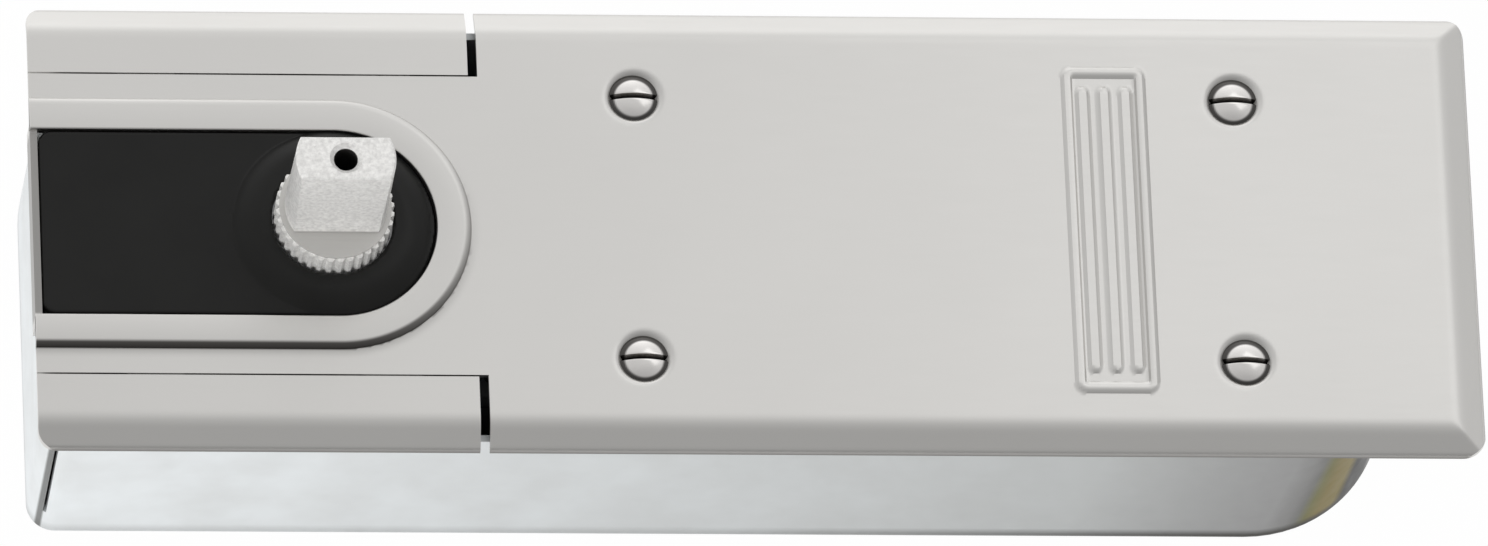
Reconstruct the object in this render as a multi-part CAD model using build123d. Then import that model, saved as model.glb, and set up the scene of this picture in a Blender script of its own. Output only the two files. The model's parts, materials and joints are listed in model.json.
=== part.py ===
from build123d import *

import os
from math import cos, hypot, radians, sin

# Floor spring: a door closer that lies in a cement box under the floor.
# Origin on the spindle axis at the flat top of the cover plate, X along the
# plate, Z up. All sizes in millimetres.

# Clearances and overruns
run_fit = 0.05
pin_fit = 0.03
slip_fit = 0.2
overrun = 10.0

# Cover plate
plate_left = 63.0
plate_right = 243.0
plate_overhang = 3.5
plate_sheet = 1.5
bevel_run = 6.0
bevel_drop = 3.0
press_radius = 2.5
plate_rim = 4.0
plate_corner = 5.0
strip_corner = 4.0
strip_width = 16.2
slit_width = 0.35
strip_gap = 2.0
tongue_end = 32.0
cutout_radius = 21.2
cutout_shift = 1.0
collar_flat = 5.2
collar_slope = 2.2
collar_rise = 1.0
lip_half = 23.0
lip_depth = 7.0

# Pressed frame and ribs on the plate
badge_x = 165.0
badge_length = 74.5
badge_width = 17.4
badge_corner = 2.2
badge_border = 1.9
badge_rise = 0.6
badge_ribs = 3
badge_rib_width = 2.4
badge_rib_inset = 2.6

# Cover screws, their dimples and the posts that carry the plate
screw_x_near = 65.0
screw_x_far = 192.5
screw_y = 30.0
dimple_radius = 6.3
dimple_hole = 3.3
dimple_wall = 1.5
cover_screw_radius = 3.0
cover_screw_head = 5.4
cover_screw_crown = 1.5
cover_screw_length = 18.0
slot_width = 1.5
slot_depth = 1.7
post_radius = 5.0
post_tap_depth = 20.0

# Clips under the slits
clip_x_near = -44.0
clip_x_far = 6.0
clip_width = 12.0
clip_hold = 4.8
clip_reach = 8.2
clip_thick = 1.0

# Spindle cover
cover_rise = 0.5
cover_gap = 0.25
cover_wall = 1.8
cover_edge = 0.5
cover_corner = 2.0
cover_end_gap = 0.2
disc_radius = 19.6
disc_flank = 1.0
disc_rise = 3.5
disc_hole = 12.8

# Spindle insert
insert_radius = 12.5
insert_teeth = 36
tooth_depth = 0.7
tooth_shares = ((0.0, 0.0), (0.25, 1.0), (0.55, 1.0), (0.8, 0.0))
collar_top = 8.5
shoulder_radius = 11.85
shoulder_thick = 0.8
insert_top = 34.2
insert_base_round = 10.75
insert_tip_round = 10.55
insert_base_flat = 6.0
insert_tip_flat = 4.85
thread_radius = 2.5
thread_depth = 14.0
thread_chamfer = 0.95
insert_edge = 0.4

# Heights of the closer body, from the floor level down
cap_depth = 5.0
cap_hub = 6.0
cap_flange = 5.5
gasket_thick = 0.5
link_headroom = 0.8
link_thick = 4.0
cam_side_gap = 0.2
cam_thick = 12.0
link_footroom = 1.8
floor_thick = 11.0
foot_gap = 4.0

# Cam motion
swing = 170.0
lift_rate = 0.08
cam_least = 22.0
roller_radius = 8.5
roller_pin = 3.0
cam_clearance = 0.1
cam_points = 12
cam_seat_radius = 10.0
cam_seat_flat = 8.5

# Cam shaft
journal_radius = 16.0
journal_top = 1.0
journal_chamfer = 0.8
neck_radius = 11.0
foot_radius = 10.0
foot_length = 8.0
socket_floor = 14.0

# Bearings and seal
upper_bearing_radius = 20.0
upper_bearing_length = 6.0
lower_bearing_radius = 13.0
lower_bearing_gap = 0.5
seal_radius = 21.0
seal_length = 4.0
seal_lip_gap = 0.05
hub_radius = 25.0
hub_land = 17.5

# Carriage that the cam drives
link_half = 18.5
link_tail_half = 13.5
link_bend = 9.0
link_bend_run = 10.0
link_end = 43.0
link_nose = 9.0
link_nose_bend = 9.0
link_margin = 1.2
tongue_start = 31.5
tongue_half = 12.0
piston_pin_x = 37.0
piston_pin_y = 6.5
bore_radius = 18.0
piston_start = 45.0
bore_start = 44.5
piston_length = 20.0
ring_groove = 2.5
ring_width = 3.0
ring_place = 6.0
spigot_radius = 10.5
spigot_length = 8.0
valve_pocket = 4.5
valve_pocket_depth = 6.0
valve_port = 1.8
ball_radius = 3.0
ball_lift = 0.8
cage_port = 1.2
cage_ports = 4
cage_ring = 2.7

# Closing spring, its seat and the force screw
spring_end = 180.0
spring_wire = 2.6
spring_radius = 14.2
spring_turns = 10
coil_steps = 2
coil_samples = 48
seat_thick = 6.0
seat_spigot = 11.0
seat_spigot_length = 8.0
seat_travel = 6.0
force_radius = 5.0
force_inner = 160.0
force_flange = 8.0
force_flange_thick = 4.0
force_drive = 2.4
force_drive_depth = 4.0

# Closer housing
chamber_gap = 3.0
chamber_side = 1.0
chamber_right = 36.0
chamber_corner = 12.0
head_wall = 5.5
head_corner = 8.0
head_right = 48.0
cylinder_wall = 5.0
cylinder_start = 42.0
plug_length = 14.0
plug_radius = 20.0
plug_hex = 14.0
plug_hex_depth = 4.0
oring_wire = 2.0
oring_place = 4.0
rib_half = 2.5
rib_reach = 1.5

# Screws of the bearing cap
cap_screw_radius = 2.5
cap_screw_head = 4.2
cap_screw_head_height = 4.5
cap_screw_length = 14.0
cap_screw_inset = 6.0
cap_screw_hex = 2.2

# Speed valves and the filler plug
valve_block_left = 80.0
valve_block_right = 110.0
valve_block_step = 0.4
valve_block_top = 8.0
valve_block_low = 38.0
valve_wall = 3.0
closing_valve_x = 88.0
latching_valve_x = 102.0
valve_radius = 4.0
valve_length = 20.0
valve_tip = 6.0
valve_slot = 1.2
valve_slot_depth = 2.0
valve_groove_place = 5.0
valve_groove = 1.6
filler_x = 140.0
filler_radius = 4.0
filler_hex = 2.5
filler_hex_depth = 3.0

# Lugs, brackets and the screws that set the closer in its box
lug_top = 25.0
lug_thick = 6.0
lug_length = 8.1
lug_head_x = 0.0
lug_head_half = 14.0
lug_tail_x = 164.0
lug_tail_half = 14.0
lug_screw_pitch = 16.0
set_radius = 2.5
set_gap = 2.5
set_stand = 2.5
set_hex = 1.25
fix_radius = 2.5
fix_head = 4.2
fix_head_height = 4.0
fix_slot = 2.9
fix_slot_length = 10.0
fix_grip = 7.0
bracket_sheet = 2.0
bracket_bend = 3.0
bracket_gap = 0.8
bracket_half = 13.0

# Cement box
box_left = 61.3
box_right = 228.5
box_side_gap = 3.0
box_sheet = 1.5
box_rim = 6.0
box_bend = 2.5
box_corner_front_left = 6.0
box_corner_rear_left = 24.0
box_corner_right = 30.5
seam_x = -58.5
seam_width = 0.7
seam_foot = 9.0

# Levels worked out from the sizes above
cap_low = -(cap_depth + cap_hub + cap_flange)
head_top = cap_low - gasket_thick
link_top = head_top - link_headroom
cam_top = link_top - link_thick - cam_side_gap
cam_low = cam_top - cam_thick
axis_z = (cam_top + cam_low) / 2
link_low = cam_low - cam_side_gap - link_thick
chamber_floor = link_low - link_footroom
housing_low = chamber_floor - floor_thick
box_floor = housing_low - foot_gap
box_low = box_floor - box_sheet
neck_top = head_top

# Lengths worked out from the sizes above
travel = lift_rate * swing
cam_most = cam_least + lift_rate * 180
cam_reach = cam_most - roller_radius
chamber_left = -(cam_most + roller_radius + chamber_gap)
chamber_half = cam_reach + chamber_side
head_left = chamber_left - head_wall
head_half = chamber_half + head_wall
cylinder_radius = bore_radius + cylinder_wall
cap_right = cylinder_start - slip_fit
seat_end = spring_end + seat_thick
plug_start = seat_end + seat_travel + force_flange_thick
plug_end = plug_start + plug_length
dimple_depth = dimple_radius - dimple_hole
dimple_seat = -(dimple_depth + dimple_wall / 2)
lug_reach = head_half + lug_length
bracket_inner = head_half + bracket_gap
box_half = lug_reach + box_side_gap + box_sheet
plate_half = box_half + plate_overhang
slit_half = plate_half - strip_width
clip_inner = slit_half - clip_hold
clip_outer = slit_half + clip_reach
valve_block_side = head_half - valve_block_step
valve_y = valve_block_side - valve_wall - valve_radius
collar_radius = cutout_radius + collar_flat
collar_outer = collar_radius + collar_slope
lug_y = (bracket_inner + lug_reach) / 2


def block(x_low, x_high, y_low, y_high, z_low, z_high):
    """A solid between six planes."""
    centre = ((x_low + x_high) / 2, (y_low + y_high) / 2, (z_low + z_high) / 2)
    return Pos(*centre) * Box(x_high - x_low, y_high - y_low, z_high - z_low)


def post(x, y, radius, z_low, z_high):
    """An upright cylinder."""
    return Pos(x, y, (z_low + z_high) / 2) * Cylinder(radius, z_high - z_low)


def bar(x_low, x_high, y, z, radius):
    """A cylinder that lies along X."""
    turned = Rot(0, 90, 0) * Cylinder(radius, x_high - x_low)
    return Pos((x_low + x_high) / 2, y, z) * turned


def cone(x, y, low_radius, high_radius, z_low, z_high):
    """An upright cone between two levels."""
    return Pos(x, y, (z_low + z_high) / 2) * Cone(low_radius, high_radius, z_high - z_low)


def hexagon(x, y, inner_radius, z_low, z_high):
    """An upright hexagonal prism, by the radius of the circle inside it."""
    outline = RegularPolygon(inner_radius, 6, major_radius=False)
    return Pos(x, y, z_low) * extrude(outline, amount=z_high - z_low)


def prism(face, z_low, z_high):
    """A plan outline drawn up between two levels."""
    return Pos(0, 0, z_low) * extrude(face, amount=z_high - z_low)


def group(solids):
    """Separate solids that share one node."""
    return Compound(children=list(solids))


def mirrored_pair(solid):
    """A solid and its mirror image across the middle plane."""
    return [solid, mirror(solid, about=Plane.XZ)]


def tongue_outline(left, radius, corner=0.0):
    """A plan outline that is square at the left and round about the cut-out centre."""
    start = (cutout_shift, -radius)
    finish = (cutout_shift, radius)
    nose = (cutout_shift + radius, 0)
    sides = Polyline(start, (left, -radius), (left, radius), finish)
    outline = make_face(sides.edges() + ThreePointArc(finish, nose, start).edges())
    if corner:
        outline = fillet(outline.vertices().group_by(Axis.X)[0], corner)
    return outline


# Cover plate and side strips
def plate_form(left):
    """The bevelled outside of the whole plate, with its left end at left."""
    middle = (left + plate_right) / 2
    plan = Pos(middle, 0) * Rectangle(plate_right - left, 2 * plate_half)
    ends = plan.vertices().group_by(Axis.X)
    plan = fillet(ends[-1], plate_corner)
    plan = fillet(plan.vertices().group_by(Axis.X)[0], strip_corner)
    body = prism(plan, -plate_rim, 0)
    flat_half = plate_half - bevel_run
    across = Polyline(
        (plate_half, -plate_rim),
        (plate_half, -bevel_drop),
        (flat_half, 0),
        (-flat_half, 0),
        (-plate_half, -bevel_drop),
        (-plate_half, -plate_rim),
        close=True,
    )
    along = Polyline(
        (left, -plate_rim),
        (plate_right, -plate_rim),
        (plate_right, -bevel_drop),
        (plate_right - bevel_run, 0),
        (left, 0),
        close=True,
    )
    length = plate_right - left
    body &= extrude(Plane.YZ.offset(left) * make_face(across), amount=length)
    body &= extrude(Plane.XZ * make_face(along), amount=plate_half, both=True)
    top = body.faces().sort_by(Axis.Z)[-1]
    creases = [edge for edge in top.edges() if edge.center().X > left + bevel_run]
    return fillet(creases, press_radius)


def collar_form(left):
    """The raised U round the cut-out, with its sloping outer side."""
    low = tongue_outline(left, collar_outer)
    high = Pos(0, 0, collar_rise) * tongue_outline(left, collar_radius)
    return loft([low, high], ruled=True)


def badge_form():
    """The raised frame with plain lengthwise ribs, pressed up from the plate."""
    frame = RectangleRounded(badge_width, badge_length, badge_corner)
    inner_corner = badge_corner - badge_border / 2
    inner_width = badge_width - 2 * badge_border
    inner_length = badge_length - 2 * badge_border
    frame -= RectangleRounded(inner_width, inner_length, inner_corner)
    rib_length = inner_length - 2 * badge_rib_inset
    spacing = inner_width / badge_ribs
    ribs = [
        Pos(spacing * (number - (badge_ribs - 1) / 2), 0)
        * SlotOverall(rib_length, badge_rib_width, rotation=90)
        for number in range(badge_ribs)
    ]
    raised = extrude(Sketch() + [frame, *ribs], amount=badge_rise)
    return Pos(badge_x, 0, 0) * raised


def sheet_form(with_collar):
    """The pressed sheet: the outside less the same form one sheet lower."""
    outside = plate_form(-plate_left)
    inside = plate_form(-plate_left - overrun)
    if with_collar:
        outside += collar_form(-plate_left)
        inside += collar_form(-plate_left - overrun)
    return outside - Pos(0, 0, -plate_sheet) * inside


def strip_zone(side, inner, right):
    """The part of the plate's plan that a side strip takes, on one side."""
    edges = sorted((side * inner, side * (plate_half + overrun)))
    return block(-plate_left - overrun, right, *edges, -plate_rim - overrun, overrun)


def screw_places():
    """The four cover screws."""
    return [(x, side * screw_y) for x in (screw_x_near, screw_x_far) for side in (1, -1)]


def cover_plate():
    """The main plate with its cut-out, raised collar, dimples and pressed frame."""
    plate = sheet_form(True)
    for side in (1, -1):
        plate -= strip_zone(side, slit_half, tongue_end)
    opening = tongue_outline(-plate_left + plate_sheet, cutout_radius)
    plate -= prism(opening, -plate_rim - overrun, overrun)
    lip_right = -plate_left + plate_sheet
    plate += block(-plate_left, lip_right, -lip_half, lip_half, -lip_depth, 0)
    wide = dimple_radius + dimple_wall / 2
    narrow = dimple_hole + dimple_wall
    for x, y in screw_places():
        plate += cone(x, y, narrow, wide, dimple_seat, -plate_sheet)
        plate -= cone(x, y, dimple_hole, dimple_radius, -dimple_depth, 0)
        plate -= post(x, y, dimple_hole, dimple_seat - overrun, 0)
    return plate + badge_form()


def side_strip(side):
    """One loose strip beside the tongue of the plate; side is 1 at the rear."""
    zone = strip_zone(side, slit_half + slit_width, tongue_end - strip_gap)
    return sheet_form(False) & zone


def strip_clips():
    """Four flat clips under the slits, which carry the strips from the plate."""
    clips = []
    for x in (clip_x_near, clip_x_far):
        low, high = -plate_sheet - clip_thick, -plate_sheet
        clip = block(x, x + clip_width, clip_inner, clip_outer, low, high)
        clips += mirrored_pair(clip)
    return group(clips)


def cover_screw(x, y):
    """A slotted raised countersunk screw in its dimple."""
    rim = -(dimple_radius - cover_screw_head) + run_fit
    neck = rim - (cover_screw_head - cover_screw_radius)
    head = cone(x, y, cover_screw_radius, cover_screw_head, neck, rim)
    half_chord = cover_screw_head
    sphere = (half_chord**2 + cover_screw_crown**2) / (2 * cover_screw_crown)
    crown = Pos(x, y, rim + cover_screw_crown - sphere) * Sphere(sphere)
    crown &= post(x, y, half_chord, rim, rim + cover_screw_crown)
    shank = post(x, y, cover_screw_radius, rim - cover_screw_length, neck)
    screw = head + crown + shank
    top = rim + cover_screw_crown
    reach = cover_screw_head
    near, far = y - slot_width / 2, y + slot_width / 2
    return screw - block(x - reach, x + reach, near, far, top - slot_depth, top)


def cover_screws():
    """The four screws that hold the plate down."""
    return group(cover_screw(x, y) for x, y in screw_places())


def cover_posts():
    """Four tapped posts from the floor of the box up to the dimples."""
    posts = []
    for x, y in screw_places():
        tap = post(x, y, cover_screw_radius + run_fit, dimple_seat - post_tap_depth, dimple_seat)
        posts.append(post(x, y, post_radius, box_floor, dimple_seat) - tap)
    return group(posts)


# Spindle cover
def spindle_cover():
    """The moulded black cap in the cut-out, with the raised disc round the spindle."""
    left = -plate_left + plate_sheet + cover_end_gap
    radius = cutout_radius - cover_gap
    outer = prism(tongue_outline(left, radius, cover_corner), -cap_depth, cover_rise)
    outer = chamfer(outer.faces().sort_by(Axis.Z)[-1].edges(), cover_edge)
    outer += cone(0, 0, disc_radius + disc_flank, disc_radius, cover_rise, disc_rise)
    inner = tongue_outline(left + cover_wall, radius - cover_wall)
    shell = outer - prism(inner, -cap_depth, cover_rise - cover_wall)
    hollow = disc_radius - cover_wall
    shell -= post(0, 0, hollow, cover_rise - cover_wall, disc_rise - cover_wall)
    return shell - post(0, 0, disc_hole, -cap_depth, disc_rise)


# Spindle
def toothed_outline(radius):
    """A circle with blunt teeth all round, which the insert and its socket share."""
    points = []
    pitch = 360 / insert_teeth
    for tooth in range(insert_teeth):
        for turn_share, height_share in tooth_shares:
            angle = radians(pitch * (tooth + turn_share))
            distance = radius - tooth_depth * (1 - height_share)
            points.append((distance * cos(angle), distance * sin(angle)))
    return make_face(Polyline(*points, close=True))


def double_flat(round_radius, flat_half):
    """A circle with two flat sides that run along X."""
    return Circle(round_radius) & Rectangle(2 * round_radius, 2 * flat_half)


def spindle_insert():
    """The exchangeable spindle end: toothed plug, shoulder and tapered double flat."""
    plug = prism(toothed_outline(insert_radius), -socket_floor, collar_top)
    shoulder_top = collar_top + shoulder_thick
    shoulder = cone(0, 0, insert_radius - tooth_depth, shoulder_radius, collar_top, shoulder_top)
    base = Pos(0, 0, shoulder_top) * double_flat(insert_base_round, insert_base_flat)
    tip = Pos(0, 0, insert_top) * double_flat(insert_tip_round, insert_tip_flat)
    blade = loft([base, tip], ruled=True)
    blade = chamfer(blade.faces().sort_by(Axis.Z)[-1].edges(), insert_edge)
    insert = plug + shoulder + blade
    insert -= post(0, 0, thread_radius, insert_top - thread_depth, insert_top)
    mouth = thread_radius + thread_chamfer
    return insert - cone(0, 0, thread_radius, mouth, insert_top - thread_chamfer, insert_top)


def cam_shaft():
    """The hardened shaft: socket journal, neck with two flats for the cam, foot journal."""
    journal = post(0, 0, journal_radius, neck_top, journal_top)
    journal = chamfer(journal.edges().group_by(Axis.Z)[-1], journal_chamfer)
    neck = post(0, 0, neck_radius, chamber_floor + link_footroom / 2, neck_top)
    seat = prism(double_flat(cam_seat_radius, cam_seat_flat), cam_low, cam_top)
    neck -= post(0, 0, neck_radius + overrun, cam_low, cam_top)
    foot = post(0, 0, foot_radius, chamber_floor - foot_length, cam_low)
    shaft = journal + neck + seat + foot
    socket = toothed_outline(insert_radius + run_fit)
    return shaft - prism(socket, -socket_floor, journal_top)


def cam_point(angle):
    """A point of the cam's flank; the roller centres rise steadily with the angle."""
    offset = roller_radius + cam_clearance
    slope = lift_rate * 180 / radians(180)
    reach = cam_least + slope * angle
    length = hypot(reach, slope)
    inward, across = reach / length * offset, slope / length * offset
    x = (reach - inward) * cos(angle) - across * sin(angle)
    y = (reach - inward) * sin(angle) + across * cos(angle)
    return x, y


def cam_tip_angle():
    """The angle at which the two flanks of the cam meet, found by halving."""
    low, high = radians(90), radians(180)
    for _ in range(50):
        middle = (low + high) / 2
        if cam_point(middle)[1] > 0:
            low = middle
        else:
            high = middle
    return low


def cam_outline():
    """The heart cam: two equal flanks from the notch to the tip."""
    last = cam_tip_angle()
    points = [cam_point(last * number / cam_points) for number in range(cam_points)]
    points.append((cam_point(last)[0], 0))
    upper = Spline(*points)
    lower = Spline(*[(x, -y) for x, y in points])
    start_x, start_y = points[0]
    floor = (cam_least - roller_radius - cam_clearance, 0)
    notch = ThreePointArc((start_x, start_y), floor, (start_x, -start_y))
    return make_face(upper.edges() + lower.edges() + notch.edges())


def heart_cam():
    """The cam, keyed on the shaft by its two flats."""
    bore = double_flat(cam_seat_radius + pin_fit, cam_seat_flat + pin_fit)
    return prism(cam_outline() - bore, cam_low, cam_top)


# Carriage
def link_outline():
    """Half width and length of a tie plate, wide round the shaft and narrow in the bore."""
    tail = link_bend + link_bend_run
    nose = -(cam_most + link_nose)
    points = [
        (nose, link_nose),
        (nose + link_nose_bend, link_half),
        (link_bend, link_half),
        (tail, link_tail_half),
        (link_end, link_tail_half),
    ]
    lower = [(x, -y) for x, y in reversed(points)]
    return make_face(Polyline(*points, *lower, close=True))


def tie_plate(low):
    """One of the two plates that carry the rollers past the shaft."""
    slot_half = neck_radius + slip_fit
    slot_length = travel + 2 * (slot_half + link_margin)
    slot = Pos(-travel / 2, 0) * SlotOverall(slot_length, 2 * slot_half)
    plate = prism(link_outline() - slot, low, low + link_thick)
    for x in (cam_least, -cam_most):
        plate -= post(x, 0, roller_pin + pin_fit, low, low + link_thick)
    for y in (piston_pin_y, -piston_pin_y):
        plate -= post(piston_pin_x, y, roller_pin + pin_fit, low, low + link_thick)
    return plate


def roller(x):
    """A hardened roller between the tie plates."""
    blank = post(x, 0, roller_radius, cam_low, cam_top)
    return blank - post(x, 0, roller_pin + run_fit, cam_low, cam_top)


def link_pins(places):
    """Pins through both tie plates, flush with their outer faces."""
    return group(post(x, y, roller_pin, link_low, link_top) for x, y in places)


def piston():
    """The piston with its tongue, ring groove, spring spigot and valve pocket."""
    face = piston_start + piston_length
    end = face + spigot_length
    radius = bore_radius - run_fit
    body = bar(piston_start, face, 0, axis_z, radius)
    body += bar(face, end, 0, axis_z, spigot_radius)
    tongue_low, tongue_high = cam_low - cam_side_gap, cam_top + cam_side_gap
    body += block(tongue_start, piston_start, -tongue_half, tongue_half, tongue_low, tongue_high)
    groove_left = face - ring_place - ring_width
    groove = bar(groove_left, groove_left + ring_width, 0, axis_z, radius + overrun)
    groove -= bar(groove_left, groove_left + ring_width, 0, axis_z, radius - ring_groove)
    body -= groove
    body -= bar(face - valve_pocket_depth, end, 0, axis_z, valve_pocket)
    body -= bar(piston_start, face, 0, axis_z, valve_port)
    low, high = axis_z - valve_port, axis_z + valve_port
    cross = piston_start - 2 * valve_port
    body -= block(cross, piston_start, -tongue_half, tongue_half, low, high)
    for y in (piston_pin_y, -piston_pin_y):
        body -= post(piston_pin_x, y, roller_pin + pin_fit, tongue_low, tongue_high)
    return body


def piston_ring():
    """The sealing ring in the piston's groove."""
    left = piston_start + piston_length - ring_place - ring_width
    outer = bar(left + pin_fit, left + ring_width - pin_fit, 0, axis_z, bore_radius - pin_fit)
    root = bore_radius - run_fit - ring_groove + pin_fit
    return outer - bar(left, left + ring_width, 0, axis_z, root)


def ball_centre():
    """Where the check ball rests on the edge of its port."""
    port_plane = piston_start + piston_length - valve_pocket_depth
    return port_plane + (ball_radius**2 - valve_port**2) ** 0.5 + pin_fit


def check_ball():
    """The ball of the piston's one-way valve."""
    return Pos(ball_centre(), 0, axis_z) * Sphere(ball_radius)


def check_valve_cage():
    """The bored plug that keeps the ball in its pocket."""
    left = ball_centre() + ball_radius + ball_lift + pin_fit
    right = piston_start + piston_length + spigot_length
    cage = bar(left, right, 0, axis_z, valve_pocket - pin_fit)
    for number in range(cage_ports):
        angle = radians(360 * (number + 0.5) / cage_ports)
        y, z = cage_ring * cos(angle), cage_ring * sin(angle)
        cage -= bar(left, right, y, axis_z + z, cage_port)
    return cage


# Spring and force setting
def coil_place(turn):
    """A point of the spring's centre line and the direction there, after some turns."""
    left = piston_start + piston_length + spring_wire
    pitch = (spring_end - spring_wire - left) / spring_turns
    angle = radians(360 * turn)
    y, z = spring_radius * cos(angle), spring_radius * sin(angle)
    point = Vector(left + pitch * turn, y, axis_z + z)
    return point, Vector(pitch / radians(360), -z, y).normalized()


def twin_arcs(start, finish):
    """Two arcs that meet smoothly between two places of the centre line."""
    (here, leaving), (there, arriving) = start, finish
    chord, turning = there - here, leaving + arriving
    # Each tangent is one lever long, so the two tangent points lie two levers apart
    across, spread = chord.dot(turning), 4 - turning.dot(turning)
    root = (across**2 + spread * chord.dot(chord)) ** 0.5
    lever = chord.dot(chord) / (across + root)
    near, far = here + leaving * lever, there - arriving * lever
    meeting = (near + far) * 0.5
    first = TangentArc(here, meeting, tangent=leaving)
    second = TangentArc(meeting, there, tangent=far - near)
    return [first.edge(), second.edge()]


def spring_gap():
    """Least gap of the spring to itself, measured between points one turn apart."""
    samples = [coil_place(number / coil_samples)[0] for number in range(2 * coil_samples)]
    near = samples[0]
    return min((near - point).length for point in samples[coil_samples // 2 :]) - 2 * spring_wire


def closing_spring():
    """The strong closing spring, an unbroken coil along X between piston and seat."""
    steps = spring_turns * coil_steps
    places = [coil_place(number / coil_steps) for number in range(steps + 1)]
    edges = [edge for pair in zip(places, places[1:]) for edge in twin_arcs(*pair)]
    path = Wire(edges)
    section = Plane(origin=places[0][0], z_dir=places[0][1]) * Circle(spring_wire)
    return sweep(section, path=path)


def spring_seat():
    """The nut that the force screw draws along, with a spigot inside the spring."""
    seat = bar(spring_end, seat_end, 0, axis_z, bore_radius - 2 * run_fit)
    seat += bar(spring_end - seat_spigot_length, spring_end, 0, axis_z, seat_spigot)
    return seat - bar(spring_end - seat_spigot_length, seat_end, 0, axis_z, force_radius + run_fit)


def force_screw():
    """The screw that sets the spring force, held axially by its flange."""
    screw = bar(force_inner, plug_end, 0, axis_z, force_radius)
    screw += bar(plug_start - force_flange_thick, plug_start, 0, axis_z, force_flange)
    drive = hexagon(0, 0, force_drive, 0, force_drive_depth)
    return screw - Pos(plug_end, 0, axis_z) * Rot(0, -90, 0) * drive


def end_plug():
    """The screwed plug at the far end of the cylinder, with its sealing groove."""
    plug = bar(plug_start, plug_end, 0, axis_z, plug_radius - run_fit)
    groove_left = plug_start + oring_place
    groove_right = groove_left + oring_wire
    groove = bar(groove_left, groove_right, 0, axis_z, plug_radius + overrun)
    groove -= bar(groove_left, groove_right, 0, axis_z, plug_radius - oring_wire)
    recess = hexagon(0, 0, plug_hex / 2 + force_radius, 0, plug_hex_depth)
    plug -= groove
    plug -= Pos(plug_end, 0, axis_z) * Rot(0, -90, 0) * recess
    return plug - bar(plug_start, plug_end, 0, axis_z, force_radius + run_fit)


def end_plug_oring():
    """The sealing ring in the plug's groove."""
    left = plug_start + oring_place + pin_fit
    right = left + oring_wire - 2 * pin_fit
    ring = bar(left, right, 0, axis_z, plug_radius - pin_fit)
    return ring - bar(left, right, 0, axis_z, plug_radius - oring_wire + pin_fit)


# Closer housing
def plan_box(left, right, half, corner):
    """A plan rectangle with rounded corners."""
    return Pos((left + right) / 2, 0) * RectangleRounded(right - left, 2 * half, corner)


def chamber_plan():
    """Plan of the cam chamber."""
    return plan_box(chamber_left, chamber_right, chamber_half, chamber_corner)


def cap_screw_places():
    """The four screws at the corners of the bearing cap."""
    y = head_half - cap_screw_inset
    left, right = head_left + cap_screw_inset, cap_right - cap_screw_inset
    return [(left, y), (left, -y), (right, y), (right, -y)]


def lug_places():
    """Centres of the two pairs of lugs along X, with their half lengths."""
    return [(lug_head_x, lug_head_half), (lug_tail_x, lug_tail_half)]


def lug_screw_places(shift):
    """One screw in each lug, moved along X from the lug's centre."""
    return [(x + shift, side * lug_y) for x, _ in lug_places() for side in (1, -1)]


def lugs():
    """Four lugs with holes for the levelling screws and slots for the fixing screws."""
    low = -lug_top - lug_thick
    body = [block(x - half, x + half, 0, lug_reach, low, -lug_top) for x, half in lug_places()]
    body = Part() + [piece for lug in body for piece in mirrored_pair(lug)]
    for x, y in lug_screw_places(-lug_screw_pitch / 2):
        body -= post(x, y, set_radius + run_fit, low, -lug_top)
    for x, y in lug_screw_places(lug_screw_pitch / 2):
        slot = Pos(x, y) * SlotOverall(fix_slot_length, 2 * fix_slot)
        body -= prism(slot, low, -lug_top)
    return body


def valve_bosses():
    """The block beside the cylinder that holds the two speed valves."""
    return block(
        valve_block_left,
        valve_block_right,
        0,
        valve_block_side,
        -valve_block_low,
        -valve_block_top,
    )


def cylinder_ribs():
    """Two casting ribs along the cylinder, between the chamber and the tail lugs."""
    reach = cylinder_radius + rib_reach
    return block(head_right, plug_start, -reach, reach, axis_z - rib_half, axis_z + rib_half)


def closer_housing():
    """The cast body: cam chamber, spring cylinder, lugs and valve block."""
    head = prism(plan_box(head_left, head_right, head_half, head_corner), housing_low, head_top)
    body = head + bar(cylinder_start, plug_end, 0, axis_z, cylinder_radius)
    body += [cylinder_ribs(), valve_bosses(), lugs()]
    body -= prism(chamber_plan(), chamber_floor, head_top)
    passage = bar(chamber_right - slip_fit, bore_start, 0, axis_z, bore_radius)
    body -= passage & block(0, bore_start, -bore_radius, bore_radius, chamber_floor, head_top)
    body -= bar(bore_start, plug_end, 0, axis_z, bore_radius)
    body -= bar(plug_start, plug_end, 0, axis_z, plug_radius)
    foot_depth = foot_length + lower_bearing_gap
    body -= post(0, 0, lower_bearing_radius + pin_fit, chamber_floor - foot_depth, chamber_floor)
    tap_depth = cap_screw_length - cap_flange - gasket_thick + pin_fit
    for x, y in cap_screw_places():
        body -= post(x, y, cap_screw_radius + pin_fit, head_top - tap_depth, head_top)
    for x in (closing_valve_x, latching_valve_x):
        low = -valve_block_top - valve_length - valve_tip
        body -= post(x, valve_y, valve_radius + run_fit, low, -valve_block_top)
    top = axis_z + cylinder_radius
    return body - post(filler_x, 0, filler_radius + pin_fit, top - cylinder_wall, top)


def bearing_cap():
    """The screwed cap over the chamber, with seats for the bearing and the seal."""
    flange_top = cap_low + cap_flange
    plan = plan_box(head_left, cap_right, head_half, head_corner)
    cap = prism(plan, cap_low, flange_top)
    cap += post(0, 0, hub_radius, flange_top, -cap_depth)
    cap -= post(0, 0, hub_land, cap_low, -cap_depth)
    bearing_top = cap_low + upper_bearing_length
    cap -= post(0, 0, upper_bearing_radius + pin_fit, cap_low, bearing_top)
    cap -= post(0, 0, seal_radius + pin_fit, -cap_depth - seal_length, -cap_depth)
    for x, y in cap_screw_places():
        cap -= post(x, y, cap_screw_radius + slip_fit, cap_low, flange_top)
    return cap


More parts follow.
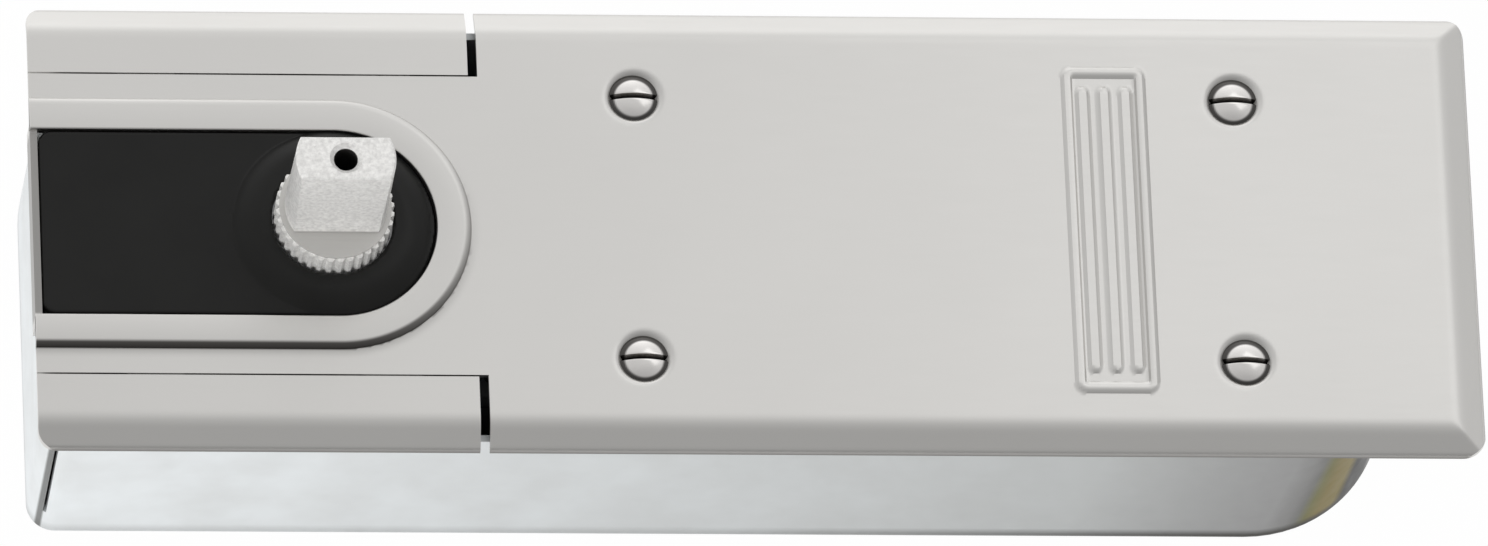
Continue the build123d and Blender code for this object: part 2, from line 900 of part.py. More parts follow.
def cap_gasket():
    """The flat gasket between the housing and its cap."""
    plan = plan_box(head_left, cap_right, head_half, head_corner) - chamber_plan()
    gasket = prism(plan, head_top, cap_low)
    for x, y in cap_screw_places():
        gasket -= post(x, y, cap_screw_radius + slip_fit, head_top, cap_low)
    return gasket


def socket_screw(x, y, radius, head_radius, head_height, length, seat, drive):
    """A socket head screw with its head standing on seat."""
    screw = post(x, y, head_radius, seat, seat + head_height)
    screw += post(x, y, radius, seat - length, seat)
    return screw - hexagon(x, y, drive, seat + head_height / 2, seat + head_height)


def cap_screws():
    """The four screws of the bearing cap."""
    seat = cap_low + cap_flange
    return group(
        socket_screw(
            x,
            y,
            cap_screw_radius,
            cap_screw_head,
            cap_screw_head_height,
            cap_screw_length,
            seat,
            cap_screw_hex,
        )
        for x, y in cap_screw_places()
    )


def upper_bearing():
    """The bearing ring in the cap, round the shaft's large journal."""
    low = cap_low + pin_fit
    high = cap_low + upper_bearing_length - pin_fit
    ring = post(0, 0, upper_bearing_radius, low, high)
    return ring - post(0, 0, journal_radius + run_fit, low, high)


def shaft_seal():
    """The lip seal over the upper bearing."""
    low, high = -cap_depth - seal_length, -cap_depth
    ring = post(0, 0, seal_radius, low, high)
    return ring - post(0, 0, journal_radius + seal_lip_gap, low, high)


def lower_bearing():
    """The bearing cup in the floor of the chamber."""
    low = chamber_floor - foot_length - lower_bearing_gap
    ring = post(0, 0, lower_bearing_radius, low, chamber_floor)
    return ring - post(0, 0, foot_radius + run_fit, low + lower_bearing_gap - pin_fit, chamber_floor)


# Valves and plugs
def groove_ring(x, y, radius, depth, low, high, outer):
    """The ring between a groove's root and outer."""
    return post(x, y, outer, low, high) - post(x, y, radius - depth, low, high)


def speed_valve(x):
    """A needle valve with a slotted head, a ring groove and a conical tip."""
    top = -valve_block_top
    low = top - valve_length
    needle = post(x, valve_y, valve_radius, low, top)
    needle += cone(x, valve_y, valve_radius / 4, valve_radius, low - valve_tip + run_fit, low)
    slot = valve_slot / 2
    reach = valve_radius
    near, far = valve_y - slot, valve_y + slot
    needle -= block(x - reach, x + reach, near, far, top - valve_slot_depth, top)
    groove_top = top - valve_groove_place
    groove_low = groove_top - valve_groove
    outer = valve_radius + run_fit
    return needle - groove_ring(x, valve_y, valve_radius, valve_groove, groove_low, groove_top, outer)


def valve_orings():
    """The sealing rings of the two valves."""
    top = -valve_block_top - valve_groove_place - pin_fit
    low = top - valve_groove + 2 * pin_fit
    depth = valve_groove - run_fit
    return group(
        groove_ring(x, valve_y, valve_radius, depth, low, top, valve_radius)
        for x in (closing_valve_x, latching_valve_x)
    )


def filler_plug():
    """The oil filler plug on top of the cylinder."""
    top = axis_z + cylinder_radius
    plug = post(filler_x, 0, filler_radius, top - cylinder_wall, top)
    return plug - hexagon(filler_x, 0, filler_hex, top - filler_hex_depth, top)


# Fixing of the closer in its box
def bracket_top():
    """Level of the brackets' upper tabs."""
    return -lug_top - lug_thick - set_gap


def body_brackets():
    """Four bent brackets on the floor of the box, under the lugs."""
    outer = box_half - box_sheet
    top = bracket_top()
    brackets = []
    for x, _ in lug_places():
        left, right = x - bracket_half, x + bracket_half
        form = block(left, right, bracket_inner, outer, box_floor, top)
        form = fillet(form.edges().filter_by(Axis.X).group_by(Axis.Y)[-1], bracket_bend)
        inner_low, inner_high = box_floor + bracket_sheet, top - bracket_sheet
        form -= block(left, right, bracket_inner, outer - bracket_sheet, inner_low, inner_high)
        form -= post(x + lug_screw_pitch / 2, lug_y, fix_radius + pin_fit, inner_high, top)
        brackets += mirrored_pair(form)
    return group(brackets)


def levelling_screws():
    """Set screws through the lugs, which stand on the brackets."""
    low, top = bracket_top(), -lug_top + set_stand
    screws = []
    for x, y in lug_screw_places(-lug_screw_pitch / 2):
        screw = post(x, y, set_radius, low, top)
        screws.append(screw - hexagon(x, y, set_hex, top - set_stand, top))
    return group(screws)


def fixing_screws():
    """Socket head screws through the slots of the lugs into the brackets."""
    return group(
        socket_screw(
            x,
            y,
            fix_radius,
            fix_head,
            fix_head_height,
            lug_thick + fix_grip,
            -lug_top,
            cap_screw_hex,
        )
        for x, y in lug_screw_places(lug_screw_pitch / 2)
    )


# Cement box
def box_plan(inset):
    """Plan of the box, drawn in by inset."""
    left, right, half = -box_left + inset, box_right - inset, box_half - inset
    plan = Pos((left + right) / 2, 0) * Rectangle(right - left, 2 * half)
    plan = fillet(plan.vertices().group_by(Axis.X)[-1], box_corner_right - inset)
    left_end = plan.vertices().group_by(Axis.X)[0].sort_by(Axis.Y)
    plan = fillet(left_end[0], box_corner_front_left - inset)
    left_rear = plan.vertices().group_by(Axis.Y)[-1].sort_by(Axis.X)
    return fillet(left_rear[0], box_corner_rear_left - inset)


def cement_box():
    """The galvanised box that is cast into the floor, with an open corner seam."""
    outer = prism(box_plan(0), box_low, -box_rim)
    outer = fillet(outer.faces().sort_by(Axis.Z)[0].edges(), box_bend)
    inner = prism(box_plan(box_sheet), box_floor, -box_rim)
    inner = fillet(inner.faces().sort_by(Axis.Z)[0].edges(), box_bend - box_sheet)
    seam_low = box_floor + seam_foot
    outside = -box_half - overrun
    inside = -box_half + box_corner_front_left / 2
    seam = block(seam_x, seam_x + seam_width, outside, inside, seam_low, -box_rim)
    return outer - inner - seam


NODES = {
    "cement_box": cement_box,
    "body_brackets": body_brackets,
    "cover_posts": cover_posts,
    "cover_plate": cover_plate,
    "side_strip_rear": lambda: side_strip(1),
    "side_strip_front": lambda: side_strip(-1),
    "strip_clips": strip_clips,
    "cover_screws": cover_screws,
    "spindle_cover": spindle_cover,
    "closer_housing": closer_housing,
    "bearing_cap": bearing_cap,
    "cap_gasket": cap_gasket,
    "cap_screws": cap_screws,
    "shaft_seal": shaft_seal,
    "upper_bearing": upper_bearing,
    "lower_bearing": lower_bearing,
    "cam_shaft": cam_shaft,
    "heart_cam": heart_cam,
    "spindle_insert": spindle_insert,
    "tie_plate_upper": lambda: tie_plate(link_top - link_thick),
    "tie_plate_lower": lambda: tie_plate(link_low),
    "closing_roller": lambda: roller(cam_least),
    "return_roller": lambda: roller(-cam_most),
    "roller_pins": lambda: link_pins([(cam_least, 0), (-cam_most, 0)]),
    "piston": piston,
    "piston_pins": lambda: link_pins([(piston_pin_x, y) for y in (piston_pin_y, -piston_pin_y)]),
    "piston_ring": piston_ring,
    "check_ball": check_ball,
    "check_valve_cage": check_valve_cage,
    "closing_spring": closing_spring,
    "spring_seat": spring_seat,
    "force_screw": force_screw,
    "end_plug": end_plug,
    "end_plug_oring": end_plug_oring,
    "closing_valve": lambda: speed_valve(closing_valve_x),
    "latching_valve": lambda: speed_valve(latching_valve_x),
    "valve_orings": valve_orings,
    "filler_plug": filler_plug,
    "levelling_screws": levelling_screws,
    "fixing_screws": fixing_screws,
}


def main():
    """Writes each sub-part to its own file."""
    os.makedirs("parts", exist_ok=True)
    for name, make in NODES.items():
        export_step(make(), f"parts/{name}.step")
    print(f"least gap of the spring to itself: {spring_gap():.2f} mm")


main()
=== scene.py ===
"""Looks of a floor spring: a concealed door closer in a galvanised cement box.

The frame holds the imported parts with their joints. This script dresses each of
them, and puts finer surfaces in the place of the cover plate, its strips, cap and
screws, and of the spring that shortens.
Sizes of new pieces are in millimetres in the frame's own axes: X along the
plate, Z up, with the origin on the spindle axis at the top of the plate.
"""

from __future__ import annotations

import json
import logging
import math
from collections.abc import Callable, Sequence
from dataclasses import dataclass, field
from enum import Enum

import bpy
import numpy as np
from mathutils import Euler, Matrix, Vector

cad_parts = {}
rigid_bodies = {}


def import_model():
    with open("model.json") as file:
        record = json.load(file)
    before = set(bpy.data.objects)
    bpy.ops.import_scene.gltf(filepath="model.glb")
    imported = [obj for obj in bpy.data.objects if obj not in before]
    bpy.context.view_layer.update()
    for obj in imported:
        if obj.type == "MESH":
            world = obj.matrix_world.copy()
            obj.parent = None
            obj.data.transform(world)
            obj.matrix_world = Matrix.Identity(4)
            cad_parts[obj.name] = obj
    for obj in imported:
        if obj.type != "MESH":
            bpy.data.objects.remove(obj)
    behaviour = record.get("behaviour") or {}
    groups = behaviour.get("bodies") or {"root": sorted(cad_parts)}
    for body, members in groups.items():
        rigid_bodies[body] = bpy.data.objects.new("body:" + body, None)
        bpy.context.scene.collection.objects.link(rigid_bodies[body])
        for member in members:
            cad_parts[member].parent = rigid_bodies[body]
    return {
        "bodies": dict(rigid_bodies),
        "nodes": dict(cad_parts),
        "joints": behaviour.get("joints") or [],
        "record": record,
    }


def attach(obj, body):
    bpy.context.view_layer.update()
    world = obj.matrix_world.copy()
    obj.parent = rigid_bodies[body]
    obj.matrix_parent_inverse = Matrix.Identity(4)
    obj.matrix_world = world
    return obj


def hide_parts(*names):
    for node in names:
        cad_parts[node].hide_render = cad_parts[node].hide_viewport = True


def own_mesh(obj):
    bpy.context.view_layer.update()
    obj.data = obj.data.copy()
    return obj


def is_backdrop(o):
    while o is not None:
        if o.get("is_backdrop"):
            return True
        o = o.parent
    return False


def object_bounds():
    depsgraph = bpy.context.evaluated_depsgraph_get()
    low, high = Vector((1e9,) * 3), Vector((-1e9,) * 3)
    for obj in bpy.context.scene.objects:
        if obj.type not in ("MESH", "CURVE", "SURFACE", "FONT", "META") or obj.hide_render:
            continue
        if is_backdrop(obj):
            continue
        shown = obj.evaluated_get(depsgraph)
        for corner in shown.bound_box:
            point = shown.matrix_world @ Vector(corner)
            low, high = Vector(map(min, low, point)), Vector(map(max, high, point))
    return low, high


LOG = logging.getLogger("floor_spring")
MM = 0.001
Array = np.ndarray
Plan = Callable[[Array, Array], Array]
Shell = tuple[Array, Array]
Colour = tuple[float, float, float]
Span = tuple[float, float]
Socket = bpy.types.NodeSocket
Inputs = dict[str | int, Socket | float | Sequence[float]]


class Grain(Enum):
    """Which way a finish is brushed, as the axis that its scratches follow."""

    ALONG = (0.03, 1.0, 1.0)
    ACROSS = (1.0, 0.03, 1.0)
    ROUND = (1.0, 1.0, 0.05)
    NONE = (1.0, 1.0, 1.0)


# Plan shapes and profiles


def soft_min(a: Array, b: Array, width: float) -> Array:
    """The lower of two surfaces; a parabola bridges the crease where they lie within width."""
    share = np.clip(0.5 + 0.5 * (b - a) / width, 0, 1)
    return b + (a - b) * share - width * share * (1 - share)


def soft_step(distance: Array, width: float) -> Array:
    """A ramp from 0 to 1 over width, eased at both ends by a cubic."""
    share = np.clip(distance / width, 0, 1)
    return share * share * (3 - 2 * share)


def edge_drop(distance: Array, radius: float) -> Array:
    """How far a quarter round lowers a surface near its edge: radius less a circle's height."""
    inward = np.clip(radius - distance, 0, radius)
    return radius - np.sqrt(radius**2 - inward**2)


def box_distance(x: Array, y: Array, half: Span, corner: float) -> Array:
    """Signed distance to a centred rectangle with round corners, negative inside.

    Args:
        x: Offsets from its centre.
        y: Offsets from its centre.
        half: Half its length and half its width.
        corner: Radius of its corners.

    Returns:
        Distances in the units of x and y.
    """
    across, along = np.abs(x) - half[0] + corner, np.abs(y) - half[1] + corner
    outside = np.hypot(np.maximum(across, 0), np.maximum(along, 0))
    return outside + np.minimum(np.maximum(across, along), 0) - corner


def tongue_distance(
    x: Array, y: Array, left: float, radius: float, shift: float, corner: float = 0.0
) -> Array:
    """Signed distance to a plan that is square at the left and round at the right.

    Args:
        x: Points along the plate.
        y: Points across the plate.
        left: Its left end.
        radius: Radius of its round end and half its width.
        shift: Centre of its round end.
        corner: Radius of its left corners.

    Returns:
        Distances, negative inside.
    """
    side = np.where(x < shift, np.abs(y) - radius, np.hypot(x - shift, y) - radius)
    end = left - x
    rounded = np.hypot(np.maximum(side + corner, 0), np.maximum(end + corner, 0))
    return rounded + np.minimum(np.maximum(side, end) + corner, 0) - corner


def lines(*stops: Span) -> Array:
    """Grid lines through some places, each with the largest spacing from there to the next."""
    runs = [
        np.linspace(start, stop, max(1, math.ceil((stop - start) / spacing)), endpoint=False)
        for (start, spacing), (stop, _) in zip(stops, stops[1:])
    ]
    return np.concatenate([*runs, [stops[-1][0]]])


def both_sides(half: Array) -> Array:
    """Mirrors grid lines that start at zero to the other side."""
    return np.concatenate([-half[:0:-1], half])


# Meshes


def make_piece(name: str, points: Array, faces: Array, crease: float) -> bpy.types.Object:
    """Puts points in millimetres and faces of four corners into a new object.

    Args:
        name: Name of the piece.
        points: One row for each vertex.
        faces: One row of vertex numbers for each face.
        crease: Angle in degrees above which an edge stays sharp.

    Returns:
        The object, at the origin and smooth shaded.
    """
    mesh = bpy.data.meshes.new(name)
    mesh.from_pydata(points * MM, [], faces)
    mesh.polygons.foreach_set("use_smooth", np.ones(len(faces), bool))
    mesh.set_sharp_from_angle(angle=math.radians(crease))
    mesh.validate()
    mesh.update()
    piece = bpy.data.objects.new(name, mesh)
    bpy.context.scene.collection.objects.link(piece)
    LOG.info("%s: %d faces", name, len(faces))
    return piece


def paint_shade(piece: bpy.types.Object, amount: Array) -> None:
    """Stores each vertex's painted shade, from 0 to 1, for the finishes that paint it."""
    painted_shade = piece.data.attributes.new("painted_shade", "FLOAT", "POINT")
    painted_shade.data.foreach_set("value", amount.astype(np.float32))


def joined(shells: Sequence[Shell]) -> Shell:
    """Puts closed shells together as the points and faces of one piece.

    Args:
        shells: Points and faces of each.

    Returns:
        All points in that order, and all faces.
    """
    starts = np.cumsum([0, *(len(points) for points, _ in shells)])
    faces = [faces + start for (_, faces), start in zip(shells, starts)]
    return np.concatenate([points for points, _ in shells]), np.concatenate(faces)


def tube_faces(rings: int, count: int) -> Array:
    """Faces of a closed tube, whose rings turn against the way they follow each other.

    Args:
        rings: Number of rings.
        count: Points in each ring, an even number.

    Returns:
        Faces of the sides and of both flat ends.
    """
    ring, step = np.meshgrid(np.arange(rings - 1), np.arange(count), indexing="ij")
    here, beside = ring * count + step, ring * count + (step + 1) % count
    sides = np.stack([here, here + count, beside + count, beside], 2).reshape(-1, 4)
    first = np.arange(count // 2 - 1)
    cap = np.stack([first, first + 1, count - 2 - first, count - 1 - first], 1)
    return np.concatenate([sides, cap, cap[:, ::-1] + (rings - 1) * count])


@dataclass
class SheetForm:
    """A closed shell between two height functions over a plan outline.

    The plan is a grid of lines. Cells whose middle lies inside the outline are
    kept, and the corners on their rim are moved onto the outline by Newton's
    steps along its slope. The rim is closed by a wall between the two heights.
    """

    name: str
    across: Array
    along: Array
    outline: Plan
    top: Plan
    bottom: Plan
    crease: float = 32.0
    steps: int = 6
    probe: float = 0.002
    least: float = 0.25

    def settle(self, x: Array, y: Array) -> tuple[Array, Array]:
        """Moves points onto the outline, each step by its distance over its slope.

        Args:
            x: Points along the plate.
            y: Points across the plate.

        Returns:
            The moved points.
        """
        for _ in range(self.steps):
            here = self.outline(x, y)
            run = 2 * self.probe
            slope_x = (self.outline(x + self.probe, y) - self.outline(x - self.probe, y)) / run
            slope_y = (self.outline(x, y + self.probe) - self.outline(x, y - self.probe)) / run
            steep = np.maximum(slope_x**2 + slope_y**2, self.least)
            x, y = x - here * slope_x / steep, y - here * slope_y / steep
        return x, y

    def arrays(self) -> Shell:
        """Works the shell out.

        Returns:
            Its points and faces: top, underside and rim wall.
        """
        x, y = np.meshgrid(self.across, self.along, indexing="ij")
        middle_x = (x[1:, 1:] + x[:-1, :-1]) / 2
        middle_y = (y[1:, 1:] + y[:-1, :-1]) / 2
        kept = np.pad(self.outline(middle_x, middle_y) < 0, 1)
        around = np.stack([kept[:-1, :-1], kept[1:, :-1], kept[:-1, 1:], kept[1:, 1:]])
        used, rim = around.any(0), around.any(0) & ~around.all(0)
        x[rim], y[rim] = self.settle(x[rim], y[rim])
        number = np.full(x.shape, -1)
        number[used] = np.arange(used.sum())
        count = int(used.sum())
        flat_x, flat_y = x[used], y[used]
        upper = np.stack([flat_x, flat_y, self.top(flat_x, flat_y)], 1)
        lower = np.stack([flat_x, flat_y, self.bottom(flat_x, flat_y)], 1)
        corners = [number[:-1, :-1], number[1:, :-1], number[1:, 1:], number[:-1, 1:]]
        inner = kept[1:-1, 1:-1]
        cells = np.stack([corner[inner] for corner in corners], 1)
        open_sides = [kept[1:-1, :-2], kept[2:, 1:-1], kept[1:-1, 2:], kept[:-2, 1:-1]]
        walls = []
        for side, neighbour in enumerate(open_sides):
            bare = inner & ~neighbour
            start, finish = corners[side][bare], corners[(side + 1) % 4][bare]
            walls.append(np.stack([finish, start, start + count, finish + count], 1))
        faces = np.concatenate([cells, cells[:, ::-1] + count, *walls])
        return np.concatenate([upper, lower]), faces

    def build(self) -> bpy.types.Object:
        """Makes the shell as one object."""
        return make_piece(self.name, *self.arrays(), self.crease)


# Finishes


@dataclass
class Graph:
    """Adds the nodes of one material or world and joins them."""

    tree: bpy.types.NodeTree

    def feed(self, node: bpy.types.Node, inputs: Inputs) -> bpy.types.Node:
        """Joins sockets to the inputs of a node, or sets the inputs to constants.

        Args:
            node: The node.
            inputs: A socket or a constant for each input, by its name or number.

        Returns:
            The node.
        """
        for name, value in inputs.items():
            if isinstance(value, Socket):
                self.tree.links.new(value, node.inputs[name])
            else:
                node.inputs[name].default_value = value
        return node

    def add(self, kind: str, inputs: Inputs | None = None) -> bpy.types.Node:
        """Adds a node of a kind and feeds it."""
        return self.feed(self.tree.nodes.new(f"ShaderNode{kind}"), inputs or {})

    def axes(self, place: Socket) -> Sequence[Socket]:
        """The X, Y and Z of a place."""
        return self.add("SeparateXYZ", {"Vector": place}).outputs

    def maths(self, operation: str, left: Socket, right: Socket | float = 0.0) -> Socket:
        """Adds one step of arithmetic.

        Args:
            operation: Name of the operation.
            left: First value.
            right: Second value.

        Returns:
            The result.
        """
        node = self.add("Math")
        node.operation = operation
        return self.feed(node, {0: left, 1: right}).outputs["Value"]

    def run(self, value: Socket, source: Span = (0, 1), target: Span = (0, 1)) -> Socket:
        """Maps a value from a source range to a target range and holds it at both ends."""
        limits = dict(zip(("From Min", "From Max", "To Min", "To Max"), (*source, *target)))
        return self.add("MapRange", {"Value": value, **limits}).outputs["Result"]

    def near(self, value: Socket, middle: float, half: float) -> Socket:
        """1 in the inner half of a band round a middle, falling to 0 at its edges."""
        away = self.maths("ABSOLUTE", self.maths("SUBTRACT", value, middle))
        return self.run(away, (half / 2, half), (1.0, 0.0))

    def mixed(self, share: Socket, colour: Socket, other: Socket | Colour) -> Socket:
        """Mixes a second colour into a first.

        Args:
            share: How much of the second is mixed in.
            colour: First colour.
            other: Second colour.

        Returns:
            The mixed colour.
        """
        node = self.add("Mix")
        node.data_type = "RGBA"
        second = other if isinstance(other, Socket) else (*other, 1)
        return self.feed(node, {0: share, 6: colour, 7: second}).outputs[2]

    def ramp(self, share: Socket, stops: Sequence[tuple[float, Colour]]) -> Socket:
        """Turns a value into a colour that runs evenly from stop to stop.

        Args:
            share: A value from 0 to 1.
            stops: Place and colour of each stop, in rising order.

        Returns:
            The colour.
        """
        node = self.add("ValToRGB", {"Fac": share})
        elements = node.color_ramp.elements
        elements.remove(elements[1])
        for position, colour in stops:
            element = elements[0] if position == stops[0][0] else elements.new(position)
            element.position, element.color = position, (*colour, 1)
        return node.outputs["Color"]

    def noise(self, place: Socket, stretch: Colour, scale: float, detail: float) -> Socket:
        """Adds a noise on stretched coordinates.

        Args:
            place: Coordinates to read.
            stretch: Scale of the coordinates along each axis.
            scale: Waves in a metre.
            detail: Octaves of finer noise.

        Returns:
            The noise's value, from 0 to 1.
        """
        vector = self.add("Mapping", {"Vector": place, "Scale": stretch}).outputs["Vector"]
        noise = {"Vector": vector, "Scale": scale, "Detail": detail}
        return self.add("TexNoise", noise).outputs["Fac"]


@dataclass(frozen=True)
class Finish:
    """A procedural surface: colour that drifts and specks, grain, and a fine relief.

    Attributes:
        name: Name of the material.
        colour: Its mean colour.
        drift: How much the colour brightens and darkens over the surface.
        drift_scale: Waves of that drift in a metre.
        tint: Colour that the bright side of the drift leans to.
        metallic: 1 for bare metal and 0 for paint, rubber and plastic.
        rough: Its mean roughness.
        rough_spread: How much the roughness varies along the grain.
        grain: Which way it is brushed or turned.
        grain_scale: Scratches or specks in a metre.
        relief: Height of its relief in millimetres.
        bump: Strength of that relief.
        specular: Strength of the highlights on paint, rubber and plastic.
        coat: Strength of a clear coat.
    """

    name: str
    colour: Colour
    drift: float = 0.06
    drift_scale: float = 12.0
    tint: Colour = (1.0, 1.0, 1.0)
    metallic: float = 1.0
    rough: float = 0.35
    rough_spread: float = 0.08
    grain: Grain = Grain.NONE
    grain_scale: float = 900.0
    relief: float = 0.02
    bump: float = 0.35
    specular: float = 0.5
    coat: float = 0.0

    def build(self) -> bpy.types.Material:
        """Makes the material, on object coordinates.

        Returns:
            A material whose colour drifts, and whose grain varies roughness and relief.
        """
        material = bpy.data.materials.new(self.name)
        material.use_nodes = True
        graph = Graph(material.node_tree)
        place = graph.add("TexCoord").outputs["Object"]
        clouds = graph.noise(place, Grain.NONE.value, self.drift_scale, detail=3.0)
        scratches = graph.noise(place, self.grain.value, self.grain_scale, detail=2.0)
        low = [channel * (1 - self.drift) for channel in self.colour]
        high = [min(1.0, c * (1 + self.drift) * t) for c, t in zip(self.colour, self.tint)]
        cloudy = graph.ramp(clouds, ((0.3, low), (0.7, high)))
        smoothest = max(0.02, self.rough - self.rough_spread)
        roughest = min(1.0, self.rough + self.rough_spread)
        relief = {"Strength": self.bump, "Distance": self.relief * MM, "Height": scratches}
        looks = {
            "Metallic": self.metallic,
            "Specular IOR Level": self.specular,
            "Coat Weight": self.coat,
            "Base Color": self.detail(graph, place, cloudy),
            "Roughness": graph.run(scratches, target=(smoothest, roughest)),
            "Normal": graph.add("Bump", relief).outputs["Normal"],
        }
        graph.feed(graph.tree.nodes["Principled BSDF"], looks)
        return material

    def detail(self, graph: Graph, place: Socket, colour: Socket) -> Socket:
        """Lets a finish add to its colour; the plain one leaves it as it is."""
        return colour


@dataclass(frozen=True)
class ZincFinish(Finish):
    """Pale bluish passivated zinc, with straw and dark painted reflections at the right end.

    The sheet greys evenly along X, a painted shade that deepens to the right. The
    painted reflections lie by X less a share of Z, so that they follow the slant
    of the corner.

    Attributes:
        shade_grey_run: Where the painted shade starts and ends greying the sheet along X, in
            metres.
        shade_grey: Colour that the painted shade greys it to.
        slant: Share of Z that is taken off X for the painted reflections.
        reflection_run: Where the painted reflection starts to show and where it covers the
            greying.
        reflection_bands: Place and colour of each painted reflection, in rising order.
        dark: Colour of the seam and of the painted shade along the lower edge.
        seam: Place along X of the dark left seam and half its width, in metres.
        seam_share: Strength of the seam.
        foot: Height of the painted shade along the lower edge and half its width, in metres.
        foot_shade_run: Where that painted shade starts and ends growing darker along X.
        foot_shade_share: Strength of that painted shade at either end of that run.
    """

    shade_grey_run: Span = (-0.06, 0.223)
    shade_grey: Colour = (0.41, 0.42, 0.415)
    slant: float = 0.11
    reflection_run: Span = (0.165, 0.206)
    reflection_bands: tuple[tuple[float, Colour], ...] = (
        (0.2070, (0.31, 0.31, 0.31)),
        (0.2118, (0.23, 0.23, 0.226)),
        (0.2140, (0.165, 0.165, 0.157)),
        (0.2162, (0.160, 0.152, 0.045)),
        (0.2190, (0.205, 0.152, 0.022)),
        (0.2222, (0.22, 0.170, 0.030)),
        (0.2245, (0.002, 0.0015, 0.001)),
        (0.2290, (0.004, 0.0035, 0.003)),
        (0.2320, (0.36, 0.36, 0.35)),
    )
    dark: Colour = (0.03, 0.028, 0.022)
    seam: Span = (-0.0590, 0.0008)
    seam_share: float = 0.75
    foot: Span = (-0.0562, 0.0056)
    foot_shade_run: Span = (0.08, 0.205)
    foot_shade_share: Span = (0.22, 0.97)

    def detail(self, graph: Graph, place: Socket, colour: Socket) -> Socket:
        """Paints shade and reflections on the sheet, then adds the seam and the shaded lower edge.

        Args:
            graph: Nodes of the material.
            place: Object coordinates.
            colour: Colour so far.

        Returns:
            Colour with all of them.
        """
        along, _, height = graph.axes(place)
        # Painted shade: the sheet greys evenly towards the right end.
        shade_grey = graph.mixed(graph.run(along, self.shade_grey_run), colour, self.shade_grey)
        # Painted reflections in straw and dark, following the round corner's slant.
        reach = graph.maths("SUBTRACT", along, graph.maths("MULTIPLY", height, self.slant))
        first, last = self.reflection_bands[0][0], self.reflection_bands[-1][0]
        stops = [((position - first) / (last - first), band) for position, band in self.reflection_bands]
        band = graph.ramp(graph.run(reach, (first, last)), stops)
        banded = graph.mixed(graph.run(reach, self.reflection_run), shade_grey, band)
        seam = graph.maths("MULTIPLY", graph.near(along, *self.seam), self.seam_share)
        seamed = graph.mixed(seam, banded, self.dark)
        # Painted shade along the lower edge, stronger towards the right.
        strength = graph.run(along, self.foot_shade_run, self.foot_shade_share)
        foot = graph.maths("MULTIPLY", graph.near(height, *self.foot), strength)
        return graph.mixed(foot, seamed, self.dark)


@dataclass(frozen=True)
class BoredFinish(Finish):
    """A finish with painted shade inside the bore on the object's Z axis.

    Attributes:
        bore: Radius inside which shade is painted, in metres.
        depth: Colour of the painted shade in the bore.
        shoulder: Height of the darker band round the shoulder and half its width, in metres.
        shoulder_tone: Colour of that band.
    """

    bore: float = 0.00252
    depth: Colour = (0.05, 0.048, 0.045)
    shoulder: Span = (0.0093, 0.0005)
    shoulder_tone: Colour = (0.57, 0.56, 0.54)

    def detail(self, graph: Graph, place: Socket, colour: Socket) -> Socket:
        """Paints shade by the distance from the axis, and darkens a band by height.

        Args:
            graph: Nodes of the material.
            place: Object coordinates.
            colour: Colour so far.

        Returns:
            Colour with the painted shade in the bore and the darker shoulder band.
        """
        along, across, height = graph.axes(place)
        # Painted shade inside the bore.
        squares = [graph.maths("MULTIPLY", side, side) for side in (along, across)]
        inside = graph.maths("LESS_THAN", graph.maths("ADD", *squares), self.bore**2)
        # A darker band at the shoulder's height.
        level, half = self.shoulder
        away = graph.maths("ABSOLUTE", graph.maths("SUBTRACT", height, level))
        shoulder_tone = graph.mixed(graph.maths("LESS_THAN", away, half), colour, self.shoulder_tone)
        return graph.mixed(inside, shoulder_tone, self.depth)


@dataclass(frozen=True)
class ShadedFinish(Finish):
    """A bright finish with painted shade where a float attribute of its mesh says.

    Attributes:
        painted_shade: Colour of the painted shade.
    """

    painted_shade: Colour = (0.02, 0.018, 0.016)

    def detail(self, graph: Graph, place: Socket, colour: Socket) -> Socket:
        """Mixes the painted shade in by the attribute.

        Args:
            graph: Nodes of the material.
            place: Object coordinates, not used here.
            colour: Colour so far.

        Returns:
            Colour with the painted shade.
        """
        amount = graph.add("Attribute")
        amount.attribute_name = "painted_shade"
        return graph.mixed(amount.outputs["Fac"], colour, self.painted_shade)


